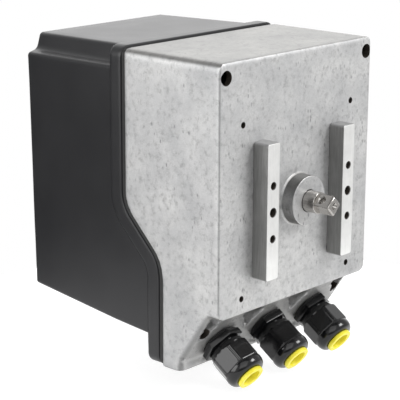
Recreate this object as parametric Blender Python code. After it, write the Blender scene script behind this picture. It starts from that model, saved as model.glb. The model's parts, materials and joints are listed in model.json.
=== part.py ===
"""Motorized valve actuator: die-cast gear housing, moulded cover, gear train and cable glands.

Run with: blender --background --python part.py
Lengths below are millimetres; every mesh is written in metres. +Z is up, the output shaft
lies along Y and points to -Y, and the origin is on the shaft's axis in the plane of the
mounting rails' outer faces.
"""
import bpy
import bmesh
from math import atan2, cos, degrees, pi, radians, sin, sqrt, tan
from mathutils import Matrix, Vector

MM = 0.001
GAP = 0.3                      # left between touching pieces

# Gear housing
FACE_Y = 11.0                  # mounting face, behind the rails' outer plane
HALF_WIDTH = 70.0
FACE_TOP = 90.4
FACE_BOTTOM = -61.6
HOUSING_BOTTOM = -100.8
WALL = 3.5
FRONT_WALL = 4.0
CORNER_R = 5.0
FRONT_ROUND = 2.0              # rounding around the mounting face
SLOPE_CHAMFER = 3.2            # along both sides of the slanted face
SHELF_T = 4.5                  # thickness of the floor over the glands
UPPER_JOINT_Y = 88.0           # the joint plane with the cover, above the S-bend
LOWER_JOINT_Y = 57.2           # and below it
UPPER_BEND = (3.6, 20.0)       # height of the upper arc's centre and its radius
LOWER_BEND = (-46.2, 26.0)
HUB_R = 15.3
HUB_FACE_Y = 1.8
BUSH_R = 9.0                   # bore for the front bush
CASE_HOLE_X, CASE_HOLE_Z, CASE_HOLE_R = 64.7, 81.5, 4.4
LOW_HOLE_X, LOW_HOLE_Z = 62.0, -75.0
STUD_HOLE_X, STUD_HOLE_R = 50.1, 1.9
STUD_HOLE_HEIGHTS = (52.6, -51.8)
SCREW_R = 2.4
TAPPED_R = 2.8                 # hole around a screw's shank
EARTH_X, EARTH_Z = 57.0, -20.0

# Slanted face that carries the three cable glands
GLAND_TILT = radians(33.5)     # the glands point this far below the horizontal
GLAND_FOOT = (34.9, -84.9)     # y and z where a gland's axis meets the slanted face
GLAND_PITCH = 43.1
GLAND_WALL = 10.0
LIP_Y = 41.0                   # front of the upright strip below the slanted face
SPOT_FACE_R = 15.0             # flat seat for a gland's flange
PAD_R = 20.7
PAD_NECK = 11.9                # half width of the pad where it runs up to the mounting face
POCKET_DEPTH = 5.5
PAD_START = 14.0               # degrees above the horizontal where a pad's free edge starts

# Cable gland, measured outwards along its axis from the slanted face
GLAND_AF = 24.0                # across flats, body and dome nut
THREAD_R = 9.9
NECK_R = 9.4
BORE_R = 6.75
FLANGE_LOW, FLANGE_HIGH, NECK_TOP = 1.4, 5.4, 20.5
NUT_BOTTOM, NUT_SHOULDER, NUT_TOP = 9.3, 24.0, 29.7
SEAL_R, THROAT_R = 9.1, 7.6
PLUG_R, PLUG_RIM_R, PLUG_BORE_R = 6.4, 8.6, 5.2
PLUG_FOOT, PLUG_FLOOR, PLUG_TOP = 14.0, 20.0, 32.2

# Cover
GASKET = 1.6
COVER_WALL = 3.0
BAND = 9.4                     # width of the cover's flange band
BAND_TOP = 91.4
BAND_BOTTOM = -101.0
COVER_HALF = 69.8
COVER_HALF_BACK = 64.4
COVER_TOP_BACK = 87.6
COVER_BACK_TOP_Y = 178.6
COVER_BACK_BOTTOM_Y = 172.7
COVER_BACK_BOTTOM = -73.5
COVER_FRONT_BOTTOM = -81.8
STEP_IN, STEP_DOWN, STEP_OUTER_DOWN = 10.7, 9.5, 13.0
WINDOW_R = 18.0

# Mounting rails and output shaft
RAIL_X = 35.4
RAIL_WIDTH = 11.2
RAIL_HALF_LENGTH = 41.3
RAIL_HOLE_PITCH = 16.0
RAIL_SCREW_Z = 33.6
SHAFT_R = 6.6
SQUARE = 9.0
SQUARE_CORNER_R = 6.15
TIP_Y, SHOULDER_Y = -17.3, -6.6
JOURNAL_R = 5.0

# Gear train, behind the front wall
MODULE = 1.5
ADDENDUM, DEDENDUM = 0.8, 1.2  # tooth height above and below the pitch circle, in modules
DRIVE_TEETH, IDLER_PINION_TEETH = 36, 12
IDLER_WHEEL_TEETH, MOTOR_TEETH = 30, 12
FEEDBACK_TEETH = 18
BACKLASH = 0.16                # taken off each tooth's thickness
MESH_EXTRA = 0.12              # added to each centre distance
DRIVE_AT, MOTOR_AT, FEEDBACK_AT = 52, 152, 200    # directions of the gears' centres, degrees
PLATE_Y, PLATE_T = 40.0, 2.5
LEG_R, LEG_TOP_R = 4.2, 3.2
MOTOR_R = 22.5

# Limit switches, and the circuit board with what stands on it
OPEN_SWITCH_Y, CLOSED_SWITCH_Y, SWITCH_T = 46.6, 54.6, 5.6
CAM_BASE_R, CAM_LOBE_R = 10.0, 13.4
BOARD_Y, BOARD_T = 70.0, 1.6
BOARD_HALF, BOARD_LOW, BOARD_HIGH = 52.0, -74.0, -22.0
POST_X, POST_Z = 47.0, -32.0
KEY_Z = -42.0
TOGGLE_X, OPEN_KEY_X, CLOSE_KEY_X = -29.0, 4.0, 22.0
TERMINALS, TERMINAL_PITCH = 8, 12.0


def clear_scene():
    for item in list(bpy.data.objects):
        bpy.data.objects.remove(item, do_unlink=True)


def material(name, colour, roughness, metallic):
    mat = bpy.data.materials.new(name)
    mat.use_nodes = True
    shader = mat.node_tree.nodes["Principled BSDF"]
    shader.inputs["Base Color"].default_value = (*colour, 1.0)
    shader.inputs["Roughness"].default_value = roughness
    shader.inputs["Metallic"].default_value = metallic
    mat.diffuse_color = (*colour, 1.0)
    return mat


def finish(name, bm, mat, origin=(0, 0, 0)):
    """Turn a bmesh in millimetres into an object whose origin is at the given point."""
    base = Vector(origin)
    for v in bm.verts:
        v.co = (v.co - base) * MM
    bmesh.ops.recalc_face_normals(bm, faces=bm.faces)
    mesh = bpy.data.meshes.new(name)
    bm.to_mesh(mesh)
    bm.free()
    mesh.shade_smooth()
    mesh.set_sharp_from_angle(angle=radians(35))
    obj = bpy.data.objects.new(name, mesh)
    obj.location = base * MM
    bpy.context.collection.objects.link(obj)
    if mat:
        mesh.materials.append(mat)
    return obj


def combine(obj, operation, tool):
    """Boolean one object with another one, then drop the tool."""
    mod = obj.modifiers.new(operation.title(), "BOOLEAN")
    mod.operation = operation
    mod.solver = "EXACT"
    mod.object = tool
    graph = bpy.context.evaluated_depsgraph_get()
    mesh = bpy.data.meshes.new_from_object(obj.evaluated_get(graph))
    obj.modifiers.clear()
    old = obj.data
    obj.data = mesh
    mesh.name = obj.name
    bpy.data.meshes.remove(old)
    bpy.data.objects.remove(tool, do_unlink=True)
    return obj


def cut(obj, *tools):
    for tool in tools:
        combine(obj, "DIFFERENCE", tool)
    return obj


def join(obj, *tools):
    for tool in tools:
        combine(obj, "UNION", tool)
    return obj


def arc(centre, radius, start, end, steps):
    """Points on a circle, from one angle to another in degrees."""
    for i in range(steps + 1):
        a = radians(start + (end - start) * i / steps)
        yield (centre[0] + radius * cos(a), centre[1] + radius * sin(a))


def rounded(corners, steps=4):
    """Outline through (x, y, radius) corners, each replaced by a tangent arc."""
    points = []
    count = len(corners)
    for i, (x, y, r) in enumerate(corners):
        here = Vector((x, y))
        if r <= 0:
            points.append(tuple(here))
            continue
        back = (Vector(corners[i - 1][:2]) - here).normalized()
        ahead = (Vector(corners[(i + 1) % count][:2]) - here).normalized()
        half = back.angle(ahead) / 2
        centre = here + (back + ahead).normalized() * (r / sin(half))
        first = here + back * (r / tan(half)) - centre
        last = here + ahead * (r / tan(half)) - centre
        a0 = atan2(first.y, first.x)
        turn = (atan2(last.y, last.x) - a0 + pi) % (2 * pi) - pi
        for k in range(steps + 1):
            a = a0 + turn * k / steps
            points.append((centre.x + r * cos(a), centre.y + r * sin(a)))
    return points


def loft(loops):
    """Closed solid through loops of 3-D points that have the same count."""
    bm = bmesh.new()
    rings = [[bm.verts.new(p) for p in loop] for loop in loops]
    count = len(rings[0])
    for lower, upper in zip(rings, rings[1:]):
        for i in range(count):
            j = (i + 1) % count
            bm.faces.new((lower[i], lower[j], upper[j], upper[i]))
    bm.faces.new(reversed(rings[0]))
    bm.faces.new(rings[-1])
    return bm


def prism(outline, low, high, axis="Y", frame=None):
    """Extrude a 2-D outline: (x, z) along Y, (y, z) along X, or (x, y) along a frame's Z."""
    place = {"Y": lambda a, b, h: (a, h, b),
             "X": lambda a, b, h: (h, a, b),
             "Z": lambda a, b, h: (a, b, h)}[axis]
    bm = loft([[place(a, b, h) for a, b in outline] for h in (low, high)])
    if frame:
        bm.transform(frame)
    return bm


def box(low, high):
    outline = [(low[0], low[2]), (high[0], low[2]), (high[0], high[2]), (low[0], high[2])]
    return prism(outline, low[1], high[1])


def turned(profile, sides=24, frame=None, closed=False, turn=0.0):
    """Revolve (radius, height) points about local Z; a closed profile makes a ring.

    A third number in a point trims that circle to a hexagon of that size across flats.
    """
    bm = bmesh.new()
    rings = []
    for r, h, *flats in profile:
        if r < 1e-6:
            rings.append([bm.verts.new((0, 0, h))])
            continue
        ring = []
        for i in range(sides):
            a = 2 * pi * i / sides
            reach = r
            if flats:
                reach = min(r, flats[0] / 2 / cos(a % (pi / 3) - pi / 6))
            ring.append(bm.verts.new((reach * cos(a + turn), reach * sin(a + turn), h)))
        rings.append(ring)
    pairs = list(zip(rings, rings[1:]))
    if closed:
        pairs.append((rings[-1], rings[0]))
    for lower, upper in pairs:
        for i in range(sides):
            j = (i + 1) % sides
            if len(lower) == 1:
                bm.faces.new((lower[0], upper[j], upper[i]))
            elif len(upper) == 1:
                bm.faces.new((lower[i], lower[j], upper[0]))
            else:
                bm.faces.new((lower[i], lower[j], upper[j], upper[i]))
    if frame:
        bm.transform(frame)
    return bm


def along_y(x=0.0, z=0.0):
    """Frame whose local Z is the world's +Y, through the point (x, z)."""
    return Matrix.Translation((x, 0, z)) @ Matrix.Rotation(radians(-90), 4, "X")


def gland_frame(x):
    """Frame on the slanted face: X across, Y up the slope, Z outwards along the gland."""
    c, s = cos(GLAND_TILT), sin(GLAND_TILT)
    y, z = GLAND_FOOT
    return Matrix(((1, 0, 0, x), (0, -s, -c, y), (0, c, -s, z), (0, 0, 0, 1)))


def slope_point(up, out):
    """y and z of a point on the slanted face's frame, up the slope and outwards."""
    point = gland_frame(0) @ Vector((0, up, out))
    return point.y, point.z


def tool(bm):
    return finish("tool", bm, None)


def pin(radius, low, high, x=0.0, z=0.0, sides=20):
    """Cylinder along Y."""
    return tool(turned([(0, low), (radius, low), (radius, high), (0, high)], sides, along_y(x, z)))


def joint_line(offset, top, bottom, steps=5):
    """Side view (y, z) of the joint between housing and cover, moved towards the cover."""
    upper_z, upper_r = UPPER_BEND
    lower_z, lower_r = LOWER_BEND
    line = [(UPPER_JOINT_Y + offset, top)]
    line += arc((UPPER_JOINT_Y - upper_r, upper_z), upper_r + offset, 0, -45, steps)
    line += arc((LOWER_JOINT_Y + lower_r, lower_z), lower_r - offset, 135, 180, steps)
    line.append((LOWER_JOINT_Y + offset, bottom))
    return line


def in_front_of_joint(offset, reach=100.0):
    """Side-view outline of everything in front of the joint line."""
    line = joint_line(offset, reach + 10, -reach - 10)
    return line + [(-20, -reach - 10), (-20, reach + 10)]


def behind_joint(offset, reach=100.0):
    line = joint_line(offset, reach + 10, -reach - 10)
    return line + [(220, -reach - 10), (220, reach + 10)]


def slope_up(z, out=0.0):
    """How far up the slanted face's frame a height lies, for a distance outwards."""
    return (z - GLAND_FOOT[1] + out * sin(GLAND_TILT)) / cos(GLAND_TILT)


def housing_outside(mat):
    """The casting as one solid block: side view, rounded front edges, softened slope."""
    ledge_y = slope_point(slope_up(FACE_BOTTOM), 0)[0]
    lip_top = GLAND_FOOT[1] - (LIP_Y - GLAND_FOOT[0]) / tan(GLAND_TILT)
    front = rounded([(FACE_Y, FACE_TOP, 0), (FACE_Y, FACE_BOTTOM, FRONT_ROUND),
                     (ledge_y, FACE_BOTTOM, 1.5), (LIP_Y, lip_top, 4.0), (LIP_Y, HOUSING_BOTTOM, 2.0),
                     (LOWER_JOINT_Y, HOUSING_BOTTOM, 0)], 3)
    side_view = joint_line(0, FACE_TOP, HOUSING_BOTTOM)[:-1][::-1] + front
    body = finish("gear_housing", prism(side_view, -HALF_WIDTH, HALF_WIDTH, "X"), mat)

    def block(inset, r):
        w, top, bottom = HALF_WIDTH - inset, FACE_TOP - inset, HOUSING_BOTTOM
        return rounded([(w, bottom, r), (w, top, r), (-w, top, r), (-w, bottom, r)], 5)

    loops = []
    for step in range(4):
        a = radians(30 * step)
        inset = FRONT_ROUND * (1 - sin(a))
        y = FACE_Y + FRONT_ROUND * (1 - cos(a))
        loops.append([(x, y, z) for x, z in block(inset, CORNER_R - inset)])
    loops.append([(x, 100, z) for x, z in block(0, CORNER_R)])
    combine(body, "INTERSECT", tool(loft(loops)))
    for side in (-1, 1):
        x0, z0, r = side * HALF_WIDTH, FACE_BOTTOM, CORNER_R
        start = 180 if side < 0 else 0
        corner = list(arc((x0 - side * r, z0 + r), r, start, start - side * 90, 5))
        corner += [(x0 - side * r, z0 - 2), (x0 + side * 2, z0 - 2), (x0 + side * 2, z0 + r)]
        cut(body, tool(prism(corner, 0, ledge_y + 4)))
        edge = [(side * (HALF_WIDTH + 1), -SLOPE_CHAMFER - 1), (side * (HALF_WIDTH + 1), 1),
                (side * (HALF_WIDTH - SLOPE_CHAMFER - 1), 1)]
        bm = loft([[(x, up, out) for x, out in edge] for up in (slope_up(lip_top), 28)])
        bm.transform(gland_frame(0))
        cut(body, tool(bm))
    return body


def housing_hollow():
    """The hollow of the casting, open towards the cover."""
    inner_y = FACE_Y + FRONT_WALL
    shelf = FACE_BOTTOM + SHELF_T
    floor = HOUSING_BOTTOM + WALL
    outline = [(inner_y, FACE_TOP - WALL), (inner_y, shelf),
               slope_point(slope_up(shelf, -GLAND_WALL), -GLAND_WALL),
               slope_point(slope_up(floor, -GLAND_WALL), -GLAND_WALL),
               (110, floor), (110, FACE_TOP - WALL)]
    return tool(prism(outline, WALL - HALF_WIDTH, HALF_WIDTH - WALL, "X"))


def low_boss(side, out_x):
    """Outline of a lower screw boss, from a side wall inwards."""
    low, high = LOW_HOLE_Z - 6.5, LOW_HOLE_Z + 6.5
    return rounded([(side * out_x, low, 0), (side * out_x, high, 0),
                    (side * 55.5, high, 4), (side * 55.5, low, 4)])


def add_bosses(body):
    """Hub outside and inside, stud bosses and the four tubes for the cover screws."""
    inner_y = FACE_Y + FRONT_WALL
    inner_hub = [(0, inner_y - 1), (13, inner_y - 1), (13, 19), (0, 19)]
    outer_hub = [(0, HUB_FACE_Y), (HUB_R - 0.6, HUB_FACE_Y), (HUB_R, HUB_FACE_Y + 0.6),
                 (HUB_R, FACE_Y - 1.0), (HUB_R + 1.4, FACE_Y + 0.4), (0, FACE_Y + 0.4)]
    join(body, tool(turned(outer_hub, 40, along_y())), tool(turned(inner_hub, 28, along_y())),
         pin(4.5, inner_y - 1, 23, EARTH_X, EARTH_Z, 16))
    for side in (-1, 1):
        for z in STUD_HOLE_HEIGHTS:
            join(body, pin(5.0, inner_y - 1, 20, side * STUD_HOLE_X, z, 16))
        high = rounded([(side * 68.5, CASE_HOLE_Z - 7, 0), (side * 68.5, FACE_TOP - 1.5, 0),
                        (side * 57.5, FACE_TOP - 1.5, 0), (side * 57.5, CASE_HOLE_Z - 7, 4)])
        join(body, tool(prism(high, inner_y - 1, UPPER_JOINT_Y)),
             tool(prism(low_boss(side, 68.5), LIP_Y - 1, LOWER_JOINT_Y)))


def pad_side(x, side, top):
    """Edge of a gland's round pad on one side, with its neck up to the mounting face."""
    end = degrees(atan2(sqrt(PAD_R ** 2 - PAD_NECK ** 2), PAD_NECK))
    line = [(x + side * a, b) for a, b in arc((0, 0), PAD_R, PAD_START, end, 4)]
    return line + [(x + side * PAD_NECK, top)]


def cut_pockets(body):
    """Pockets beside the gland pads, under the mounting face."""
    top = slope_up(FACE_BOTTOM) - 0.6
    outlines = [pad_side(left, 1, top) + pad_side(left + GLAND_PITCH, -1, top)[::-1]
                for left in (-GLAND_PITCH, 0)]
    for side in (-1, 1):
        rim = side * (HALF_WIDTH - 4.2)
        outlines.append(pad_side(side * GLAND_PITCH, side, top) + [(rim, top), (rim, 8.0)])
    for outline in outlines:
        cut(body, tool(prism(outline, -POCKET_DEPTH, 3, "Z", gland_frame(0))))


def drill_housing(body):
    for k in (-1, 0, 1):
        hole = turned([(0, -16), (THREAD_R + 0.4, -16), (THREAD_R + 0.4, 3), (0, 3)], 24,
                      gland_frame(k * GLAND_PITCH))
        seat = turned([(0, 0), (SPOT_FACE_R, 0), (SPOT_FACE_R, 8), (0, 8)], 24,
                      gland_frame(k * GLAND_PITCH))
        cut(body, tool(hole), tool(seat))
    for side in (-1, 1):
        cut(body, pin(CASE_HOLE_R, 5, 60, side * CASE_HOLE_X, CASE_HOLE_Z),
            pin(TAPPED_R, 59, 95, side * CASE_HOLE_X, CASE_HOLE_Z, 12),
            pin(CASE_HOLE_R, 20, 45, side * LOW_HOLE_X, LOW_HOLE_Z, 16),
            pin(TAPPED_R, 44, 60, side * LOW_HOLE_X, LOW_HOLE_Z, 12))
        for z in STUD_HOLE_HEIGHTS:
            cut(body, pin(STUD_HOLE_R, 5, 18.5, side * STUD_HOLE_X, z, 14))
        for z in (-RAIL_SCREW_Z, RAIL_SCREW_Z):
            cut(body, pin(TAPPED_R, 5, 20, side * RAIL_X, z, 12))
    cut(body, pin(2.1, 15.5, 30, EARTH_X, EARTH_Z, 12),
        pin(SHAFT_R + 0.4, -5, 10, 0, 0, 28), pin(BUSH_R, 4.0, 25, 0, 0, 28))


def gear_housing(mat):
    body = housing_outside(mat)
    cut(body, housing_hollow())
    add_bosses(body)
    cut_pockets(body)
    drill_housing(body)
    return body


def cover_section(y, inset):
    """Half width, top and bottom of the cover's body at a depth, and its coved outline."""
    share = max(0.0, (y - 97.0) / (COVER_BACK_TOP_Y - 97.0))
    half = COVER_HALF + (COVER_HALF_BACK - COVER_HALF) * share - inset
    top = FACE_TOP + (COVER_TOP_BACK - FACE_TOP) * share - inset
    run = (y - 68.8) / (COVER_BACK_BOTTOM_Y - 68.8)
    bottom = COVER_FRONT_BOTTOM + (COVER_BACK_BOTTOM - COVER_FRONT_BOTTOM) * run + inset
    in_x = half - STEP_IN
    right = [(half, bottom, max(0.8, 6 - inset)), (half, top - STEP_OUTER_DOWN, max(0.6, 3 - inset)),
             (in_x, top - STEP_DOWN, 4 + inset * 0.5), (in_x, top, max(0.8, 4.5 - inset))]
    left = [(-x, z, r) for x, z, r in reversed(right)]
    return rounded(right + left, 3)


def cover_body(inset, front, back_inset, edge):
    """The cover's tapered body between a front plane and the leaning back."""
    lean = (COVER_BACK_TOP_Y - COVER_BACK_BOTTOM_Y) / (COVER_TOP_BACK - COVER_BACK_BOTTOM)
    loops = [[(x, front, z) for x, z in cover_section(front, inset)],
             [(x, 97.0, z) for x, z in cover_section(97.0, inset)]]
    for step in range(4):
        a = radians(30 * step)
        shrink = edge * (1 - cos(a))
        behind = edge * (1 - sin(a)) + back_inset
        y_mid = COVER_BACK_TOP_Y - behind
        loops.append([(x, COVER_BACK_BOTTOM_Y + lean * (z - COVER_BACK_BOTTOM) - behind, z)
                      for x, z in cover_section(y_mid, inset + shrink)])
    return tool(loft(loops))


def housing_cover(mat):
    start = GASKET + 2 * GAP
    cover = cover_body(0.0, 50.0, 0.0, 4.0)
    cover.name = "housing_cover"
    cover.data.materials.append(mat)
    w, r = HALF_WIDTH, 7.0
    ring = rounded([(w, BAND_BOTTOM, r), (w, BAND_TOP, r), (-w, BAND_TOP, r), (-w, BAND_BOTTOM, r)], 5)
    band = tool(prism(ring, 50, 115))
    cut(band, tool(prism(behind_joint(start + BAND), -90, 90, "X")))
    join(cover, band)
    cut(cover, tool(prism(in_front_of_joint(start), -90, 90, "X")),
        cover_body(COVER_WALL, 40.0, COVER_WALL, 2.0))
    inner = HALF_WIDTH - WALL
    skirt = rounded([(inner, BAND_BOTTOM + 3.5, 4), (inner, COVER_FRONT_BOTTOM + 8, 0),
                     (-inner, COVER_FRONT_BOTTOM + 8, 0), (-inner, BAND_BOTTOM + 3.5, 4)])
    cut(cover, tool(prism(skirt, 40, LOWER_JOINT_Y + start + BAND - COVER_WALL)))
    for side in (-1, 1):
        join(cover, tool(prism(low_boss(side, 68), LOWER_JOINT_Y + start, 70.5)))
        cut(cover, pin(2.7, 50, 67, side * LOW_HOLE_X, LOW_HOLE_Z, 12),
            pin(2.7, 80, 97, side * CASE_HOLE_X, CASE_HOLE_Z, 12))
    cut(cover, pin(WINDOW_R + GAP, 160, 190, 0, 0, 32), pin(WINDOW_R + 2.5, 173.4, 190, 0, 0, 32))
    return cover


def cover_gasket(mat):
    gasket = finish("cover_gasket", prism(in_front_of_joint(GASKET + GAP), -80, 80, "X"), mat)
    cut(gasket, tool(prism(in_front_of_joint(GAP), -90, 90, "X")))

    def ring(width):
        w, top, bottom = HALF_WIDTH - width, FACE_TOP - width, HOUSING_BOTTOM + width
        r = max(1.0, CORNER_R - width)
        return rounded([(w, bottom, r), (w, top, r), (-w, top, r), (-w, bottom, r)], 5)

    combine(gasket, "INTERSECT", tool(prism(ring(0.7), 40, 110)))
    cut(gasket, tool(prism(ring(4.0), 40, 110)))
    for side in (-1, 1):
        cut(gasket, pin(3.2, 60, 110, side * CASE_HOLE_X, CASE_HOLE_Z, 12))
    return gasket


def mounting_rail(name, side, mat):
    w, high = RAIL_WIDTH / 2, RAIL_HALF_LENGTH
    outline = rounded([(w, -high, 0.8), (w, high, 0.8), (-w, high, 0.8), (-w, -high, 0.8)], 2)
    ease = 0.5
    inner = rounded([(w - ease, -high + ease, 0.4), (w - ease, high - ease, 0.4),
                     (-w + ease, high - ease, 0.4), (-w + ease, -high + ease, 0.4)], 2)
    x0 = side * RAIL_X
    rail = finish(name, loft([[(x0 + x, 0, z) for x, z in inner],
                              [(x0 + x, ease, z) for x, z in outline],
                              [(x0 + x, FACE_Y - GAP, z) for x, z in outline]]), mat)
    for k in (-1, 0, 1):
        radius = 2.7 if k == 0 else 2.2
        cut(rail, pin(radius, -2, FACE_Y + 2, x0, k * RAIL_HOLE_PITCH, 20))
    for z in (-RAIL_SCREW_Z, RAIL_SCREW_Z):
        cut(rail, pin(2.7, 4.0, FACE_Y + 2, x0, z, 12))
    return rail


def socket_screw(name, x, z, head_y, tip_y, head_r, shank_r, mat, head=4.0, socket=1.5):
    """Screw along Y with a hexagon socket; the head is on the far side of head_y from the tip."""
    toward = 1 if tip_y > head_y else -1
    top = head_y - toward * head
    profile = [(0, top), (head_r, top), (head_r, head_y), (shank_r, head_y),
               (shank_r, tip_y - toward * 0.8), (shank_r - 0.8, tip_y), (0, tip_y)]
    screw = finish(name, turned(profile, 12, along_y(x, z)), mat)
    hexagon = [(x + socket * cos(k * pi / 3), z + socket * sin(k * pi / 3)) for k in range(6)]
    ends = sorted((top - toward, top + toward * head * 0.55))
    return cut(screw, tool(prism(hexagon, *ends)))


def gland_piece(name, x, profile, mat, sides=18, turn=0.0):
    """Turned ring on a gland's axis, with its origin at the foot of the axis."""
    frame = gland_frame(x)
    ring = turned(profile, sides, frame, closed=True, turn=radians(turn))
    finish(name, ring, mat, frame.translation)


def cable_gland(tag, x, turn_body, turn_nut, mats):
    reach = GLAND_AF / 2 / cos(pi / 6) + 0.1
    gland_piece("gland_body_" + tag, x,
                [(BORE_R, -12), (THREAD_R, -12), (THREAD_R, FLANGE_LOW), (reach, FLANGE_LOW, GLAND_AF),
                 (reach, FLANGE_HIGH, GLAND_AF), (12.2, FLANGE_HIGH + 1.2), (NECK_R, FLANGE_HIGH + 1.2),
                 (NECK_R, NECK_TOP), (BORE_R, NECK_TOP)], mats["gland"], turn=turn_body)
    inner = THREAD_R + GAP
    gland_piece("gland_washer_" + tag, x,
                [(inner, GAP), (11.6, GAP), (11.6, FLANGE_LOW - GAP), (inner, FLANGE_LOW - GAP)],
                mats["rubber"])
    foot = NECK_TOP + GAP
    gland_piece("gland_seal_" + tag, x,
                [(BORE_R, foot), (SEAL_R, foot), (SEAL_R, foot + 2.7), (THROAT_R, foot + 5.7),
                 (BORE_R, foot + 5.7)], mats["rubber"])
    dome = []
    rise = NUT_TOP - NUT_SHOULDER
    for a in (0, 30, 60, 90):
        dome.append((PLUG_RIM_R + (reach - PLUG_RIM_R) * cos(radians(a)),
                     NUT_SHOULDER + rise * sin(radians(a)), GLAND_AF))
    gland_piece("gland_nut_" + tag, x,
                [(THREAD_R, foot + 3.3), (THREAD_R, NUT_BOTTOM), (GLAND_AF / 2, NUT_BOTTOM),
                 (reach, NUT_BOTTOM + 1.5, GLAND_AF)] + dome +
                [(THROAT_R, NUT_TOP), (THROAT_R, NUT_TOP - 1.6)], mats["gland"], 24, turn_nut)
    frame = gland_frame(x)
    rim = NUT_TOP + GAP
    plug = [(0, PLUG_FOOT), (PLUG_R - 0.6, PLUG_FOOT), (PLUG_R, PLUG_FOOT + 1), (PLUG_R, rim),
            (PLUG_RIM_R, rim), (PLUG_RIM_R, PLUG_TOP - 0.5), (PLUG_RIM_R - 0.6, PLUG_TOP),
            (PLUG_BORE_R, PLUG_TOP), (PLUG_BORE_R, PLUG_FLOOR), (0, PLUG_FLOOR)]
    finish("gland_plug_" + tag, turned(plug, 20, frame), mats["plug"], frame.translation)


def output_shaft(mat):
    profile = [(0, SHOULDER_Y), (SHAFT_R, SHOULDER_Y), (SHAFT_R, 29.0), (6.0, 29.0), (6.0, 30.2),
               (SHAFT_R, 30.2), (SHAFT_R, 37.0), (JOURNAL_R, 37.0), (JOURNAL_R, 66.0), (0, 66.0)]
    shaft = finish("output_shaft", turned(profile, 28, along_y()), mat)
    reach = degrees(atan2(sqrt(SQUARE_CORNER_R ** 2 - (SQUARE / 2) ** 2), SQUARE / 2))
    outline = []
    for k in range(4):
        for a in (45 + 90 * k - reach, 45 + 90 * k + reach):
            outline.append((SQUARE_CORNER_R * cos(radians(a)), SQUARE_CORNER_R * sin(radians(a))))
    ease = 0.88
    end = loft([[(x * ease, TIP_Y, z * ease) for x, z in outline],
                [(x, TIP_Y + 0.7, z) for x, z in outline],
                [(x, SHOULDER_Y + 1.5, z) for x, z in outline]])
    join(shaft, tool(end))
    across = Matrix.Translation((0, -10.0, 0)) @ Matrix.Rotation(radians(-45), 4, "Y")
    bore = [(0, -9), (1.9, -9), (1.9, 3.7), (2.8, 4.6), (2.8, 9), (0, 9)]
    return cut(shaft, tool(turned(bore, 16, across)))


def tooth_outline(teeth, module, phase, x, z, steps=2):
    """Involute spur gear seen along Y, one tooth centred on the angle phase (radians)."""
    pitch_r = teeth * module / 2
    base_r = pitch_r * cos(radians(20))
    tip_r = pitch_r + ADDENDUM * module
    root_r = pitch_r - DEDENDUM * module

    def involute(r):
        return sqrt(max(0.0, (r / base_r) ** 2 - 1)) - atan2(sqrt(max(0.0, r * r - base_r ** 2)), base_r)

    half_at_pitch = (pi * module / 2 - BACKLASH) / 2 / pitch_r
    start_r = max(base_r, root_r + 0.15)
    flank = [(root_r, half_at_pitch + involute(pitch_r) - involute(start_r) + 0.02)]
    for k in range(steps):
        r = start_r + (tip_r - start_r) * k / (steps - 1)
        flank.append((r, half_at_pitch + involute(pitch_r) - involute(r)))
    points = []
    for i in range(teeth):
        middle = phase + 2 * pi * i / teeth
        points += [(x + r * cos(middle - h), z + r * sin(middle - h)) for r, h in flank]
        points += [(x + r * cos(middle + h), z + r * sin(middle + h)) for r, h in reversed(flank)]
    return points


def mesh_phase(teeth, toward, partner_teeth, partner_phase):
    """Phase that puts a gear's tooth space on its partner's tooth, along the centre line."""
    pitch = 2 * pi / partner_teeth
    offset = (toward - partner_phase + pitch / 2) % pitch - pitch / 2
    return toward + pi + pi / teeth + offset * partner_teeth / teeth


def bored(obj, radius, low, high, x, z, sides=20):
    return cut(obj, pin(radius, low, high, x, z, sides))


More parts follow.
